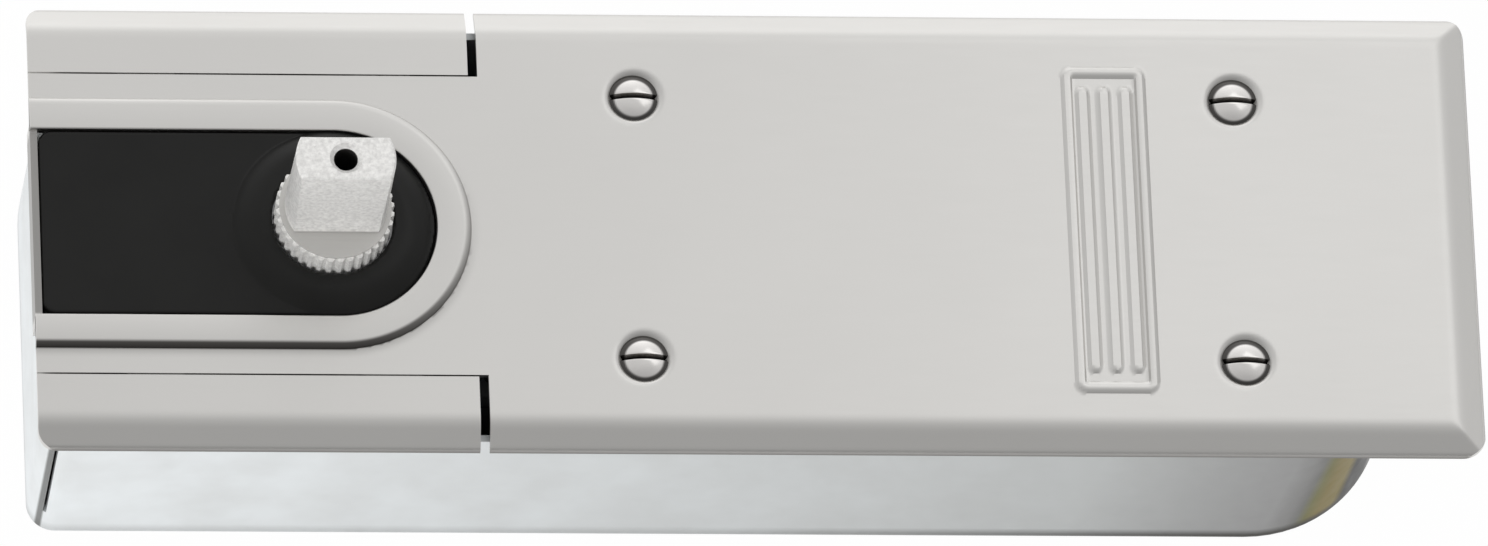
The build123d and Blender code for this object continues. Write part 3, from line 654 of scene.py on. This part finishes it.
FINISHES: dict[str, Finish] = {
    # Satin stainless, darkened where its pieces store painted shade.
    "stainless": ShadedFinish(
        "satin_stainless", (0.69, 0.68, 0.66), drift=0.02, drift_scale=9, rough=0.36,
        rough_spread=0.05, grain=Grain.ALONG, grain_scale=2600, relief=0.004,
        painted_shade=(0.10, 0.095, 0.09),
    ),
    "bright_screw": ShadedFinish(
        "polished_screw", (0.80, 0.78, 0.76), drift=0.03, drift_scale=300, rough=0.2,
        rough_spread=0.04, grain_scale=1500, relief=0.002,
    ),
    "galvanised": ZincFinish(
        "passivated_zinc", (0.80, 0.824, 0.83), drift_scale=60, tint=(1.0, 1.01, 1.02),
        metallic=0.5, rough=0.36, grain_scale=260, specular=0.05,
    ),
    "black_moulding": Finish(
        "black_moulding", (0.008, 0.008, 0.0075), drift=0.15, drift_scale=60, metallic=0,
        rough=0.36, rough_spread=0.04, grain_scale=2500, relief=0.01, specular=0.22,
    ),
    "bright_steel": BoredFinish(
        "blasted_steel", (0.88, 0.87, 0.85), drift=0.14, drift_scale=1300, metallic=0.35,
        rough=0.45, rough_spread=0.12, grain=Grain.ALONG, grain_scale=1700, relief=0.2,
    ),
    "cast_body": Finish(
        "painted_casting", (0.10, 0.105, 0.11), drift=0.2, drift_scale=80, metallic=0,
        rough=0.55, rough_spread=0.1, grain_scale=500, relief=0.15,
    ),
    "seal_rubber": Finish(
        "seal_rubber", (0.02, 0.02, 0.02), drift=0.1, drift_scale=200, metallic=0, rough=0.7,
        rough_spread=0.1, grain_scale=1200,
    ),
    "dark_screw": Finish(
        "blackened_steel", (0.10, 0.10, 0.105), drift=0.15, drift_scale=400, rough=0.42,
        rough_spread=0.1,
    ),
    "bearing_bronze": Finish(
        "turned_bronze", (0.60, 0.42, 0.18), drift=0.08, drift_scale=90, rough=0.32,
        grain=Grain.ROUND, relief=0.01,
    ),
    "hardened_steel": Finish(
        "ground_steel", (0.42, 0.42, 0.43), drift=0.1, drift_scale=60, rough=0.3,
        grain=Grain.ACROSS, grain_scale=1400, relief=0.01,
    ),
    "spring_steel": Finish(
        "oiled_spring_steel", (0.16, 0.16, 0.18), drift=0.15, drift_scale=120, rough=0.3,
        grain_scale=800, coat=0.3,
    ),
}


@dataclass
class Wardrobe:
    """The finishes by the record's slots, each built once."""

    made: dict[str, bpy.types.Material] = field(default_factory=dict)

    def dress(self, piece: bpy.types.Object, slot: str) -> None:
        """Gives a piece or a CAD node one finish over all its faces.

        Args:
            piece: The object to dress.
            slot: The record's material slot.
        """
        if slot not in self.made:
            self.made[slot] = FINISHES[slot].build()
        if not piece.data.materials:
            piece.data.materials.append(None)
        for place in range(len(piece.data.materials)):
            piece.data.materials[place] = self.made[slot]


# Sub-assemblies

SCREW_PLACES: tuple[Span, ...] = ((65.0, 30.0), (65.0, -30.0), (192.5, 30.0), (192.5, -30.0))


@dataclass
class CoverPlates:
    """The pressed cover plate and the two loose strips beside its tongue.

    Attributes:
        wardrobe: Finishes.
        left: Left end of the plate.
        right: Right end of the plate.
        half: Half its width.
        sheet: Thickness of the sheet.
        rim: Lowest level of the folded edge.
        rim_top: Lowest level of its upper side.
        bevel_run: Width of the sloping edge.
        bevel_drop: Height of the sloping edge.
    """

    wardrobe: Wardrobe
    left: float = -63.0
    right: float = 243.0
    half: float = 50.5
    sheet: float = 1.5
    rim: float = -4.0
    rim_top: float = -3.7
    bevel_run: float = 6.0
    bevel_drop: float = 3.0
    bevel_soft: float = 0.9
    mitre_soft: float = 0.25
    rim_round: float = 0.8
    corner: float = 5.0
    strip_corner: float = 4.0
    slit: float = 34.3
    slit_width: float = 0.35
    snug: float = 0.01
    tongue_end: float = 32.0
    strip_gap: float = 2.0
    opening_radius: float = 21.2
    opening_shift: float = 1.0
    collar_flat: float = 5.6
    collar_slope: float = 1.8
    collar_foot: float = 0.2
    collar_lap: float = 1.5
    collar_rise: float = 1.0
    opening_round: float = 0.4
    crease_side: float = 0.36
    crease_faint: float = 0.08
    crease_beside: float = 0.3
    crease_fade: float = 2.2
    crease_start: float = 0.1
    crease_full: float = 0.8
    flat_fade: float = 1.2
    crease_reach: float = 20.0
    rim_dark: float = 0.8
    rim_band: float = 0.45
    lip_dark: float = 0.6
    lip_half: float = 23.0
    lip_low: float = -7.0
    lip_wall: float = 1.5
    lip_edge: float = 0.05
    screw_places: tuple[Span, ...] = SCREW_PLACES
    dimple_radius: float = 5.9
    dimple_depth: float = 2.6
    dimple_soft: float = 0.45
    badge_centre: float = 165.0
    badge_half: Span = (8.7, 37.25)
    badge_corner: float = 2.2
    badge_border: float = 1.9
    badge_rise: float = 0.6
    badge_soft: float = 0.7
    rib_count: int = 3
    rib_width: float = 2.4
    rib_inset: float = 2.6
    badge_margin: float = 0.8
    dimple_margin: float = 1.2
    bevel_margin: float = 2.2

    def bevel(self, inward: Array) -> Array:
        """Height of the folded edge by the distance inside it.

        Args:
            inward: Distance from the plate's edge.

        Returns:
            Zero over the flat, then a slope, then a quarter round at the rim.
        """
        slope = (inward - self.bevel_run) * self.bevel_drop / self.bevel_run
        height = soft_min(np.zeros_like(inward), slope, self.bevel_soft)
        return height - edge_drop(inward, self.rim_round)

    def surface(self, x: Array, y: Array) -> Array:
        """Height of the plate with its folded edges, before collar and pressings."""
        sides, end = self.bevel(self.half - np.abs(y)), self.bevel(self.right - x)
        return np.maximum(soft_min(sides, end, self.mitre_soft), self.rim_top)

    def collar(self) -> Shell:
        """The raised U round the opening: a profile carried along it and round its end.

        The profile rises in a quarter round at the opening, is flat, and falls in a
        quarter ellipse at its outer side.

        Returns:
            Its points and faces.
        """
        outer = self.collar_flat + self.collar_slope
        inner_turn = np.linspace(0, np.pi / 2, 7)
        outer_turn = np.linspace(0, np.pi / 2, 17)
        outward = np.concatenate([
            self.opening_round * (1 - np.cos(inner_turn)),
            self.collar_flat + self.collar_slope * np.sin(outer_turn),
        ])
        height = np.concatenate([
            self.collar_rise - self.opening_round * (1 - np.sin(inner_turn)),
            self.collar_rise * np.cos(outer_turn),
        ])
        height[-1] = -self.collar_foot
        turn = np.linspace(-np.pi / 2, np.pi / 2, 97)[:, None]
        reach = self.opening_radius + outward[None]
        bend_x, bend_y = self.opening_shift + reach * np.cos(turn), reach * np.sin(turn)
        side = np.full((1, len(outward)), self.left)
        x = np.concatenate([side, bend_x, side])
        y = np.concatenate([-reach, bend_y, reach])
        low = -self.sheet + (self.sheet - 2 * self.collar_foot) * outward / outer
        upper = np.stack([x, y, np.broadcast_to(height, x.shape)], 2)
        lower = np.stack([x, y, np.broadcast_to(low, x.shape)], 2)
        rings = np.concatenate([lower, upper[:, ::-1]], 1)
        return rings.reshape(-1, 3), tube_faces(*rings.shape[:2])

    def dimples(self, x: Array, y: Array) -> Array:
        """Depth of the four round pressings for the screws: a cone with a soft brim.

        Args:
            x: Points along the plate.
            y: Points across the plate.

        Returns:
            Heights, none above zero.
        """
        away = np.min([np.hypot(x - far, y - side) for far, side in self.screw_places], 0)
        cone = soft_min(np.zeros_like(x), away - self.dimple_radius, self.dimple_soft)
        return np.maximum(cone, -self.dimple_depth)

    def badge(self, x: Array, y: Array) -> Array:
        """Height of the pressed frame and its plain ribs, eased along their distance.

        Args:
            x: Points along the plate.
            y: Points across the plate.

        Returns:
            Heights above the flat.
        """
        off = x - self.badge_centre
        outside = box_distance(off, y, self.badge_half, self.badge_corner)
        frame = np.abs(outside + self.badge_border / 2) - self.badge_border / 2
        inner = self.badge_half[0] - self.badge_border
        pitch = 2 * inner / self.rib_count
        nearest = np.clip(np.round(off / pitch), -(self.rib_count // 2), self.rib_count // 2)
        length = self.badge_half[1] - self.badge_border - self.rib_inset
        width = self.rib_width / 2
        rib = box_distance(off - nearest * pitch, y, (width, length), width)
        raised = np.minimum(frame, rib)
        return self.badge_rise * soft_step(self.badge_soft / 2 - raised, self.badge_soft)

    def plate_outline(self, x: Array, y: Array) -> Array:
        """Plan of the main plate: its rectangle less the opening and the strips.

        Args:
            x: Points along the plate.
            y: Points across the plate.

        Returns:
            Distances, negative inside.
        """
        middle, reach = (self.left + self.right) / 2, (self.right - self.left) / 2
        rectangle = box_distance(x - middle, y, (reach, self.half), self.corner)
        left, radius = self.left + self.lip_wall, self.opening_radius + self.collar_lap
        opening = tongue_distance(x, y, left, radius, self.opening_shift)
        strips = np.maximum(self.slit - np.abs(y), x - self.tongue_end)
        left_part = np.maximum(self.left - x, rectangle - self.corner)
        body = np.where(x < 0, left_part, rectangle)
        return np.maximum(np.maximum(body, -opening), -strips)

    def plate_top(self, x: Array, y: Array) -> Array:
        """Height of the main plate with its dimples and badge."""
        return self.surface(x, y) + self.dimples(x, y) + self.badge(x, y)

    def plate_bottom(self, x: Array, y: Array) -> Array:
        """Underside of the main plate, with the lip that is folded down at its left end."""
        flat = np.maximum(self.plate_top(x, y) - self.sheet, self.rim)
        return np.where(self.on_lip(x, y, self.lip_half + self.snug), self.lip_low, flat)

    def on_lip(self, x: Array, y: Array, reach: float) -> Array:
        """Which points lie on the folded left end, up to a reach on both sides."""
        return (x < self.left + self.lip_wall + self.snug) & (np.abs(y) < reach)

    def strip_outline(self, x: Array, y: Array) -> Array:
        """Plan of the strip on the +Y side, with a round corner at its left end.

        Args:
            x: Points along the plate.
            y: Points across the plate.

        Returns:
            Distances, negative inside.
        """
        near = np.maximum(self.slit + self.slit_width - y, x - self.tongue_end + self.strip_gap)
        half = self.right - self.left, self.half
        return np.maximum(near, box_distance(x - self.right, y, half, self.strip_corner))

    def strip_bottom(self, x: Array, y: Array) -> Array:
        """Underside of a strip: one sheet lower, but no lower than the rim."""
        return np.maximum(self.surface(x, y) - self.sheet, self.rim)

    def rim_shade(self, x: Array, y: Array) -> Array:
        """How much painted shade the lowest part of the rim gets, at the front and the right."""
        # Painted shade: a dark line along the rim at the front and the right.
        inward = np.minimum(self.half + y, self.right - x)
        return self.rim_dark * soft_step(self.rim_band - inward, self.rim_band)

    def shade(self, x: Array, y: Array) -> Array:
        """Painted shade on the plate: on its lip, at its rim and in the collar's front crease.

        The crease's painted shade is dark on the collar's slope, fades over the plate
        beside it and weakens from the front round the end to the rear.

        Args:
            x: Points along the plate.
            y: Points across the plate.

        Returns:
            Shares from 0 to 1.
        """
        left, radius = self.left - self.half, self.opening_radius
        outward = tongue_distance(x, y, left, radius, self.opening_shift)
        # Painted shade in the crease, strongest where the collar faces the front.
        facing = y / (radius + np.maximum(outward, 0))
        weight = np.clip(self.crease_side - (1 - self.crease_side) * facing, 0, 1)
        past_flat, foot = outward - self.collar_flat, self.collar_flat + self.collar_slope
        rising = self.crease_faint * soft_step(past_flat + self.flat_fade, self.flat_fade)
        slope = soft_step(past_flat - self.crease_start, self.crease_full)
        beside = self.crease_beside * (1 - soft_step(outward - foot, self.crease_fade))
        on_slope = rising + (1 - self.crease_faint) * slope
        crease = weight * np.where(outward < foot + self.snug, on_slope, beside)
        crease = np.where(outward < self.crease_reach, crease, 0)
        # Painted shade over the whole folded lip.
        lip = self.lip_dark * self.on_lip(x, y, radius)
        return np.maximum(np.maximum(lip, crease), self.rim_shade(x, y))

    def plate_lines(self) -> tuple[Array, Array]:
        """Grid lines of the main plate, close together where it is pressed.

        Returns:
            Lines along X and across it.
        """
        near, place_y = self.screw_places[0]
        far, _ = self.screw_places[-1]
        reach = self.dimple_radius + self.dimple_margin
        badge = self.badge_half[0] + self.badge_margin
        bevel = self.bevel_run + self.bevel_margin
        along = lines(
            (self.left, 0.75), (self.left + self.lip_wall, 1.5), (self.opening_shift, 0.8),
            (self.tongue_end, 3.0), (near - reach, 0.6), (near + reach, 5.0),
            (self.badge_centre - badge, 0.42), (self.badge_centre + badge, 3.0),
            (far - reach, 0.6), (far + reach, 5.0), (self.right - bevel, 0.5),
            (self.right - self.rim_round, 0.2), (self.right, 1.0),
        )
        half = lines(
            (0.0, 0.85), (self.lip_half, self.lip_edge), (self.lip_half + self.lip_edge, 0.6),
            (self.slit, 0.6), (place_y + reach, 0.6), (self.half - bevel, 0.5),
            (self.half - self.rim_round, 0.2), (self.half, 1.0),
        )
        return along, both_sides(half)

    def build(self) -> None:
        """Makes the plate and both strips and lets them replace their CAD nodes."""
        form = SheetForm(
            "pressed_cover_plate", *self.plate_lines(), self.plate_outline, self.plate_top,
            self.plate_bottom,
        )
        points, faces = joined([form.arrays(), self.collar()])
        plate = make_piece(form.name, points, faces, form.crease)
        paint_shade(plate, self.shade(*points[:, :2].T))
        self.place(plate, "cover_plate")
        right = self.tongue_end - self.strip_gap
        strip_x = lines((self.left, 0.5), (self.left + self.corner, 4.0), (right, 1.0))
        strip_y = lines(
            (self.slit + self.slit_width, 1.0),
            (self.half - self.bevel_run - self.bevel_margin, 0.4),
            (self.half - self.rim_round, 0.15), (self.half, 1.0),
        )
        for side, node in ((1, "side_strip_rear"), (-1, "side_strip_front")):
            form = SheetForm(
                f"pressed_{node}", strip_x, strip_y if side > 0 else -strip_y[::-1],
                lambda x, y, side=side: self.strip_outline(x, side * y), self.surface,
                self.strip_bottom,
            )
            points, faces = form.arrays()
            strip = make_piece(form.name, points, faces, form.crease)
            paint_shade(strip, self.rim_shade(*points[:, :2].T))
            self.place(strip, node)

    def place(self, piece: bpy.types.Object, node: str) -> None:
        """Dresses a piece in satin stainless and puts it in its node's place.

        Args:
            piece: The piece.
            node: The CAD node that it replaces.
        """
        self.wardrobe.dress(piece, "stainless")
        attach(piece, "root")
        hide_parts(node)


@dataclass
class SpindleCover:
    """The black moulded cap in the opening, with its raised disc round the spindle."""

    wardrobe: Wardrobe
    left: float = -61.3
    radius: float = 20.95
    shift: float = 1.0
    corner: float = 2.8
    rise: float = 0.5
    low: float = -5.0
    wall: float = 1.8
    edge: float = 0.7
    disc_radius: float = 17.6
    disc_flank: float = 3.4
    disc_rise: float = 3.5
    disc_edge: float = 2.4
    hole: float = 12.8
    hole_edge: float = 0.5

    def outline(self, x: Array, y: Array) -> Array:
        """Plan of the cap, less the hole for the spindle."""
        return np.maximum(-self.inward(x, y), self.hole - np.hypot(x, y))

    def inward(self, x: Array, y: Array) -> Array:
        """Distance inside the cap's outer edge."""
        return -tongue_distance(x, y, self.left, self.radius, self.shift, self.corner)

    def top(self, x: Array, y: Array) -> Array:
        """A flat with rounded edges, and the disc with its sloping flank.

        Args:
            x: Points along the plate.
            y: Points across the plate.

        Returns:
            The higher of the two at each point.
        """
        base = self.rise - edge_drop(self.inward(x, y), self.edge)
        distance = np.hypot(x, y)
        steep = (self.disc_rise - self.rise) / self.disc_flank
        flank = self.rise + (self.disc_radius + self.disc_flank - distance) * steep
        disc = soft_min(np.full_like(x, self.disc_rise), flank, self.disc_edge)
        disc = disc - edge_drop(distance - self.hole, self.hole_edge)
        return np.maximum(base, disc)

    def bottom(self, x: Array, y: Array) -> Array:
        """The wall reaches down all round, and the rest is a shell of even thickness."""
        return np.where(self.inward(x, y) < self.wall, self.low, self.top(x, y) - self.wall)

    def build(self) -> None:
        """Makes the cap and lets it replace its CAD node."""
        right = self.shift + self.radius
        cap = SheetForm(
            "moulded_spindle_cover",
            lines((self.left, 0.3), (self.left + 2.5, 1.5), (-self.radius, 0.35), (right, 1.0)),
            both_sides(lines((0.0, 0.5), (self.disc_radius - 1.0, 0.25), (self.radius, 1.0))),
            self.outline, self.top, self.bottom,
        ).build()
        self.wardrobe.dress(cap, "black_moulding")
        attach(cap, "root")
        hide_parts("spindle_cover")


@dataclass
class CoverScrews:
    """Four slotted raised countersunk screws, each a domed head over its cone and shank."""

    wardrobe: Wardrobe
    places: tuple[Span, ...] = SCREW_PLACES
    head: float = 5.3
    head_wall: float = 0.9
    shank: float = 3.0
    rim: float = -0.85
    crown: float = 1.5
    low: float = -18.8
    overlap: float = 0.2
    chamfer: float = 0.4
    slot: float = 1.2
    slot_depth: float = 2.1
    slot_edge: float = 0.12
    slot_wall: float = 0.02
    ring: float = 3.85
    ring_aside: float = 0.35
    ring_width: float = 0.5
    ring_shade: float = 0.92
    slot_dark: float = 0.3
    crease: float = 35.0

    def dome(self, x: Array, y: Array) -> Array:
        """The head's crown: a parabola over its radius."""
        return self.rim + self.crown * (1 - (x**2 + y**2) / self.head**2)

    def top(self, x: Array, y: Array) -> Array:
        """The crown with its slot along X, whose edges are rounded off.

        Args:
            x: Offsets from the screw's axis.
            y: Offsets from the screw's axis.

        Returns:
            Heights of crown and slot.
        """
        inside = self.slot / 2 - np.abs(y)
        floor = self.rim + self.crown - self.slot_depth
        lip = edge_drop(-inside, self.slot_edge)
        return np.where(inside > 0, np.minimum(floor, self.dome(x, y)), self.dome(x, y) - lip)

    def bottom(self, x: Array, y: Array) -> Array:
        """The countersunk cone, down to the shank."""
        reach = np.maximum(np.hypot(x, y), self.shank)
        return self.rim - self.head_wall - (self.head - reach)

    def shank_arrays(self) -> Shell:
        """A closed turned pin: a profile of radius and height carried round the axis.

        Returns:
            Its points and faces.
        """
        neck = self.rim - self.head_wall - (self.head - self.shank)
        profile = np.array([
            (self.shank, neck + self.overlap),
            (self.shank, self.low + self.chamfer),
            (self.shank - self.chamfer, self.low),
        ])
        turn = np.linspace(0, 2 * np.pi, 32, endpoint=False)
        radius, height = profile[:, :1], np.broadcast_to(profile[:, 1:], (len(profile), len(turn)))
        points = np.stack([radius * np.cos(turn), radius * np.sin(turn), height], 2).reshape(-1, 3)
        return points, tube_faces(len(profile), len(turn))

    def build(self) -> None:
        """Makes the four screws as one piece, with painted shade in slots and round heads."""
        edge, wall = self.slot / 2, self.slot_wall
        grid = lines((0.0, edge), (edge, wall), (edge + wall, 0.2), (self.head, 1.0))
        lengths = both_sides(lines((0.0, 0.3), (self.head - 0.6, 0.1), (self.head, 1.0)))
        form = SheetForm(
            "slotted_screws", lengths, both_sides(grid),
            lambda x, y: np.hypot(x, y) - self.head, self.top, self.bottom,
        )
        screw, faces = joined([form.arrays(), self.shank_arrays()])
        shell = joined([(screw + (*place, 0.0), faces) for place in self.places])
        screws = make_piece(form.name, *shell, self.crease)
        # Painted shade: dark in the slot by its depth, and a dark ring round the head's edge.
        x, y, height = screw.T
        depth = self.dome(x, y) - height
        reach = np.hypot(x, y + self.ring_aside)
        ring = soft_step(reach - self.ring, self.ring_width)
        slot = soft_step(depth - self.slot_dark, self.slot_dark)
        shade = np.maximum(slot, self.ring_shade * ring)
        paint_shade(screws, np.tile(shade, len(self.places)))
        self.wardrobe.dress(screws, "bright_screw")
        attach(screws, "root")
        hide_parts("cover_screws")


@dataclass
class ClosingSpring:
    """The closing spring, one unbroken coil along X that the carriage shortens.

    Attributes:
        wardrobe: Finishes.
        start: Place of the wire's middle at the piston.
        stop: Place of the wire's middle at the seat.
        fixed: Where the coil rests on its seat; not used.
        travel: How far the piston's end moves; not used.
    """

    wardrobe: Wardrobe
    start: float = 67.6
    stop: float = 177.4
    fixed: float = 180.0
    travel: float = 13.6
    level: float = -28.0
    radius: float = 14.2
    wire: float = 2.6
    turns: int = 10
    steps: int = 32
    ring: int = 16
    crease: float = 40.0

    def arrays(self) -> Shell:
        """Carries the wire's circle along a helix, square to its direction.

        Returns:
            Its points and faces.
        """
        turn = np.linspace(0, self.turns, self.turns * self.steps + 1)
        angle, pitch = 2 * np.pi * turn, (self.stop - self.start) / self.turns
        cosine, sine = np.cos(angle), np.sin(angle)
        centre = np.stack(
            [self.start + pitch * turn, self.radius * cosine, self.level + self.radius * sine], 1
        )
        outward = np.stack([np.zeros_like(angle), cosine, sine], 1)
        rise = np.full_like(angle, pitch / (2 * np.pi))
        ahead = np.stack([rise, -self.radius * sine, self.radius * cosine], 1)
        ahead /= np.linalg.norm(ahead, axis=1, keepdims=True)
        aside = np.cross(outward, ahead)
        around = np.linspace(0, 2 * np.pi, self.ring, endpoint=False)[None, :, None]
        section = np.cos(around) * outward[:, None] + np.sin(around) * aside[:, None]
        points = (centre[:, None] + self.wire * section).reshape(-1, 3)
        return points, tube_faces(len(turn), self.ring)

    def build(self) -> None:
        """Makes the coil, gives it a mesh of its own and lets it replace its CAD node."""
        coil = make_piece("closing_coil", *self.arrays(), self.crease)
        self.wardrobe.dress(coil, "spring_steel")
        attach(coil, "root")
        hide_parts("closing_spring")
        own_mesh(coil)


# Studio


@dataclass
class Studio:
    """Floor, light and camera.

    Attributes:
        floor_level: Height of the floor, in metres.
        floor_reach: Half the floor's side, in metres.
        whiteness: Share of plain white that the camera sees on the floor.
        paper: Colour of the floor for every other light.
        sky_levels: Brightness of the sky from front to rear, by half of 1 plus Y.
        horizon: Heights between which the sky brightens above the rear horizon.
        horizon_levels: Share of the sky's light at those two heights.
        front: Y of the directions between which that dimming fades out.
        aim: Where the lamps point, in metres.
        tilt: Lean of the view from straight down, in degrees.
        turn: Lean of the view to the side, in degrees.
        roll: Turn of the picture, in degrees.
        aside: How far right of the origin the camera looks, in the picture, in metres.
        above: How far above the origin the camera looks, in the picture, in metres.
        distance: From the camera to the origin's plane, in metres.
        lens: Focal length, in millimetres.
        sensor: Width of the picture for that length, in millimetres.
    """

    floor_level: float
    floor_reach: float = 6.0
    whiteness: float = 0.985
    paper: Colour = (0.9, 0.9, 0.9)
    sky_levels: tuple[Span, ...] = (
        (0.0, 0.3), (0.2, 0.45), (0.3, 0.48), (0.5, 0.66), (0.7, 0.735), (0.85, 0.87),
        (0.94, 1.1), (1.0, 1.8),
    )
    horizon: Span = (0.0, 0.22)
    horizon_levels: Span = (0.25, 1.0)
    front: Span = (0.0, -0.4)
    aim: Colour = (0.09, 0.0, 0.0)
    tilt: float = -23.83
    turn: float = 6.5
    roll: float = -0.38
    aside: float = 0.08668
    above: float = -0.01024
    distance: float = 5.0
    lens: float = 575.7
    sensor: float = 36.0

    def floor(self) -> None:
        """A floor that camera, glossy and transmission rays see white, with a faint shadow."""
        mesh = bpy.data.meshes.new("studio_floor")
        reach = self.floor_reach
        corners = [(-reach, -reach), (reach, -reach), (reach, reach), (-reach, reach)]
        mesh.from_pydata([(x, y, self.floor_level) for x, y in corners], [], [(0, 1, 2, 3)])
        floor = bpy.data.objects.new("studio_floor", mesh)
        bpy.context.scene.collection.objects.link(floor)
        material = bpy.data.materials.new("white_floor")
        material.use_nodes = True
        graph = Graph(material.node_tree)
        graph.tree.nodes.clear()
        path = graph.add("LightPath").outputs
        seen = graph.maths("MAXIMUM", path["Is Camera Ray"], path["Is Transmission Ray"])
        seen = graph.maths("MAXIMUM", seen, path["Is Glossy Ray"])
        share = graph.maths("MULTIPLY", seen, self.whiteness)
        matt = graph.add("BsdfDiffuse", {"Color": (*self.paper, 1)}).outputs["BSDF"]
        glow = graph.add("Emission", {"Strength": 1.0}).outputs["Emission"]
        mix = graph.add("MixShader", {0: share, 1: matt, 2: glow})
        graph.add("OutputMaterial", {"Surface": mix.outputs["Shader"]})
        mesh.materials.append(material)
        floor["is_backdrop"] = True

    def sky(self) -> None:
        """Soft light from all round, brighter towards the rear than the front."""
        world = bpy.data.worlds.new("studio")
        bpy.context.scene.world = world
        world.use_nodes = True
        graph = Graph(world.node_tree)
        _, rearward, upward = graph.axes(graph.add("TexCoord").outputs["Generated"])
        levels = [(position, (level, level, level)) for position, level in self.sky_levels]
        colour = graph.ramp(graph.run(rearward, (-1.0, 1.0)), levels)
        horizon = graph.run(upward, self.horizon, self.horizon_levels)
        strength = graph.maths("MAXIMUM", horizon, graph.run(rearward, self.front))
        background = graph.tree.nodes["Background"]
        graph.feed(background, {"Color": colour, "Strength": strength})

    def lamps(self) -> None:
        """A soft lamp behind and to the right, and a low one in front for upright faces."""
        self.lamp("rear_softbox", (0.55, 0.45, 1.0), (0.9, 0.5), 0.65)
        self.lamp("front_softbox", (-0.7, -1.0, 0.5), (0.9, 0.3), 9.5).visible_glossy = False

    def lamp(
        self, name: str, place: tuple[float, float, float], size: Span, energy: float
    ) -> bpy.types.Object:
        """Adds a rectangular area lamp that faces the middle of the object.

        Args:
            name: Name of the lamp.
            place: Where it stands, in metres.
            size: Its width and height, in metres.
            energy: Its power in watts.

        Returns:
            The lamp.
        """
        light = bpy.data.lights.new(name, "AREA")
        light.shape = "RECTANGLE"
        light.size, light.size_y = size
        light.energy = energy
        lamp = bpy.data.objects.new(name, light)
        bpy.context.scene.collection.objects.link(lamp)
        lamp.location = place
        aim = Vector(self.aim) - lamp.location
        lamp.rotation_euler = aim.to_track_quat("-Z", "Y").to_euler()
        return lamp

    def camera(self) -> None:
        """The camera far above, whose view leans as the photograph's does."""
        lens = bpy.data.cameras.new("camera")
        lens.sensor_width = self.sensor
        lens.lens = self.lens
        lens.clip_end = 10 * self.distance
        camera = bpy.data.objects.new("camera", lens)
        bpy.context.scene.collection.objects.link(camera)
        turn = [math.radians(angle) for angle in (self.tilt, self.turn, self.roll)]
        view = Euler(turn, "XYZ").to_matrix().to_4x4()
        shift = Matrix.Translation((-self.aside, -self.above, -self.distance))
        camera.matrix_world = (shift @ view).inverted()
        bpy.context.scene.camera = camera

    def build(self) -> None:
        """Sets the whole studio up."""
        self.floor()
        self.sky()
        self.lamps()
        self.camera()
        bpy.context.scene.view_settings.view_transform = "Standard"


def dress_nodes(frame: dict, wardrobe: Wardrobe) -> None:
    """Gives each CAD node the finish of its slot in the record.

    Args:
        wardrobe: Finishes.
    """
    for part in frame["record"]["subparts"]:
        node = frame["nodes"][part["node"]]
        wardrobe.dress(node, part["material_slot"])
        LOG.info("%s: %s", node.name, part["material_slot"])


def main() -> None:
    """Loads the frame, dresses it, builds the finer pieces and the studio."""
    logging.basicConfig(level=logging.INFO, format="%(message)s")
    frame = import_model()
    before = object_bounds()
    wardrobe = Wardrobe()
    dress_nodes(frame, wardrobe)
    CoverPlates(wardrobe).build()
    SpindleCover(wardrobe).build()
    CoverScrews(wardrobe).build()
    ClosingSpring(wardrobe).build()
    Studio(floor_level=before[0].z).build()


if __name__ == "__main__":
    main()
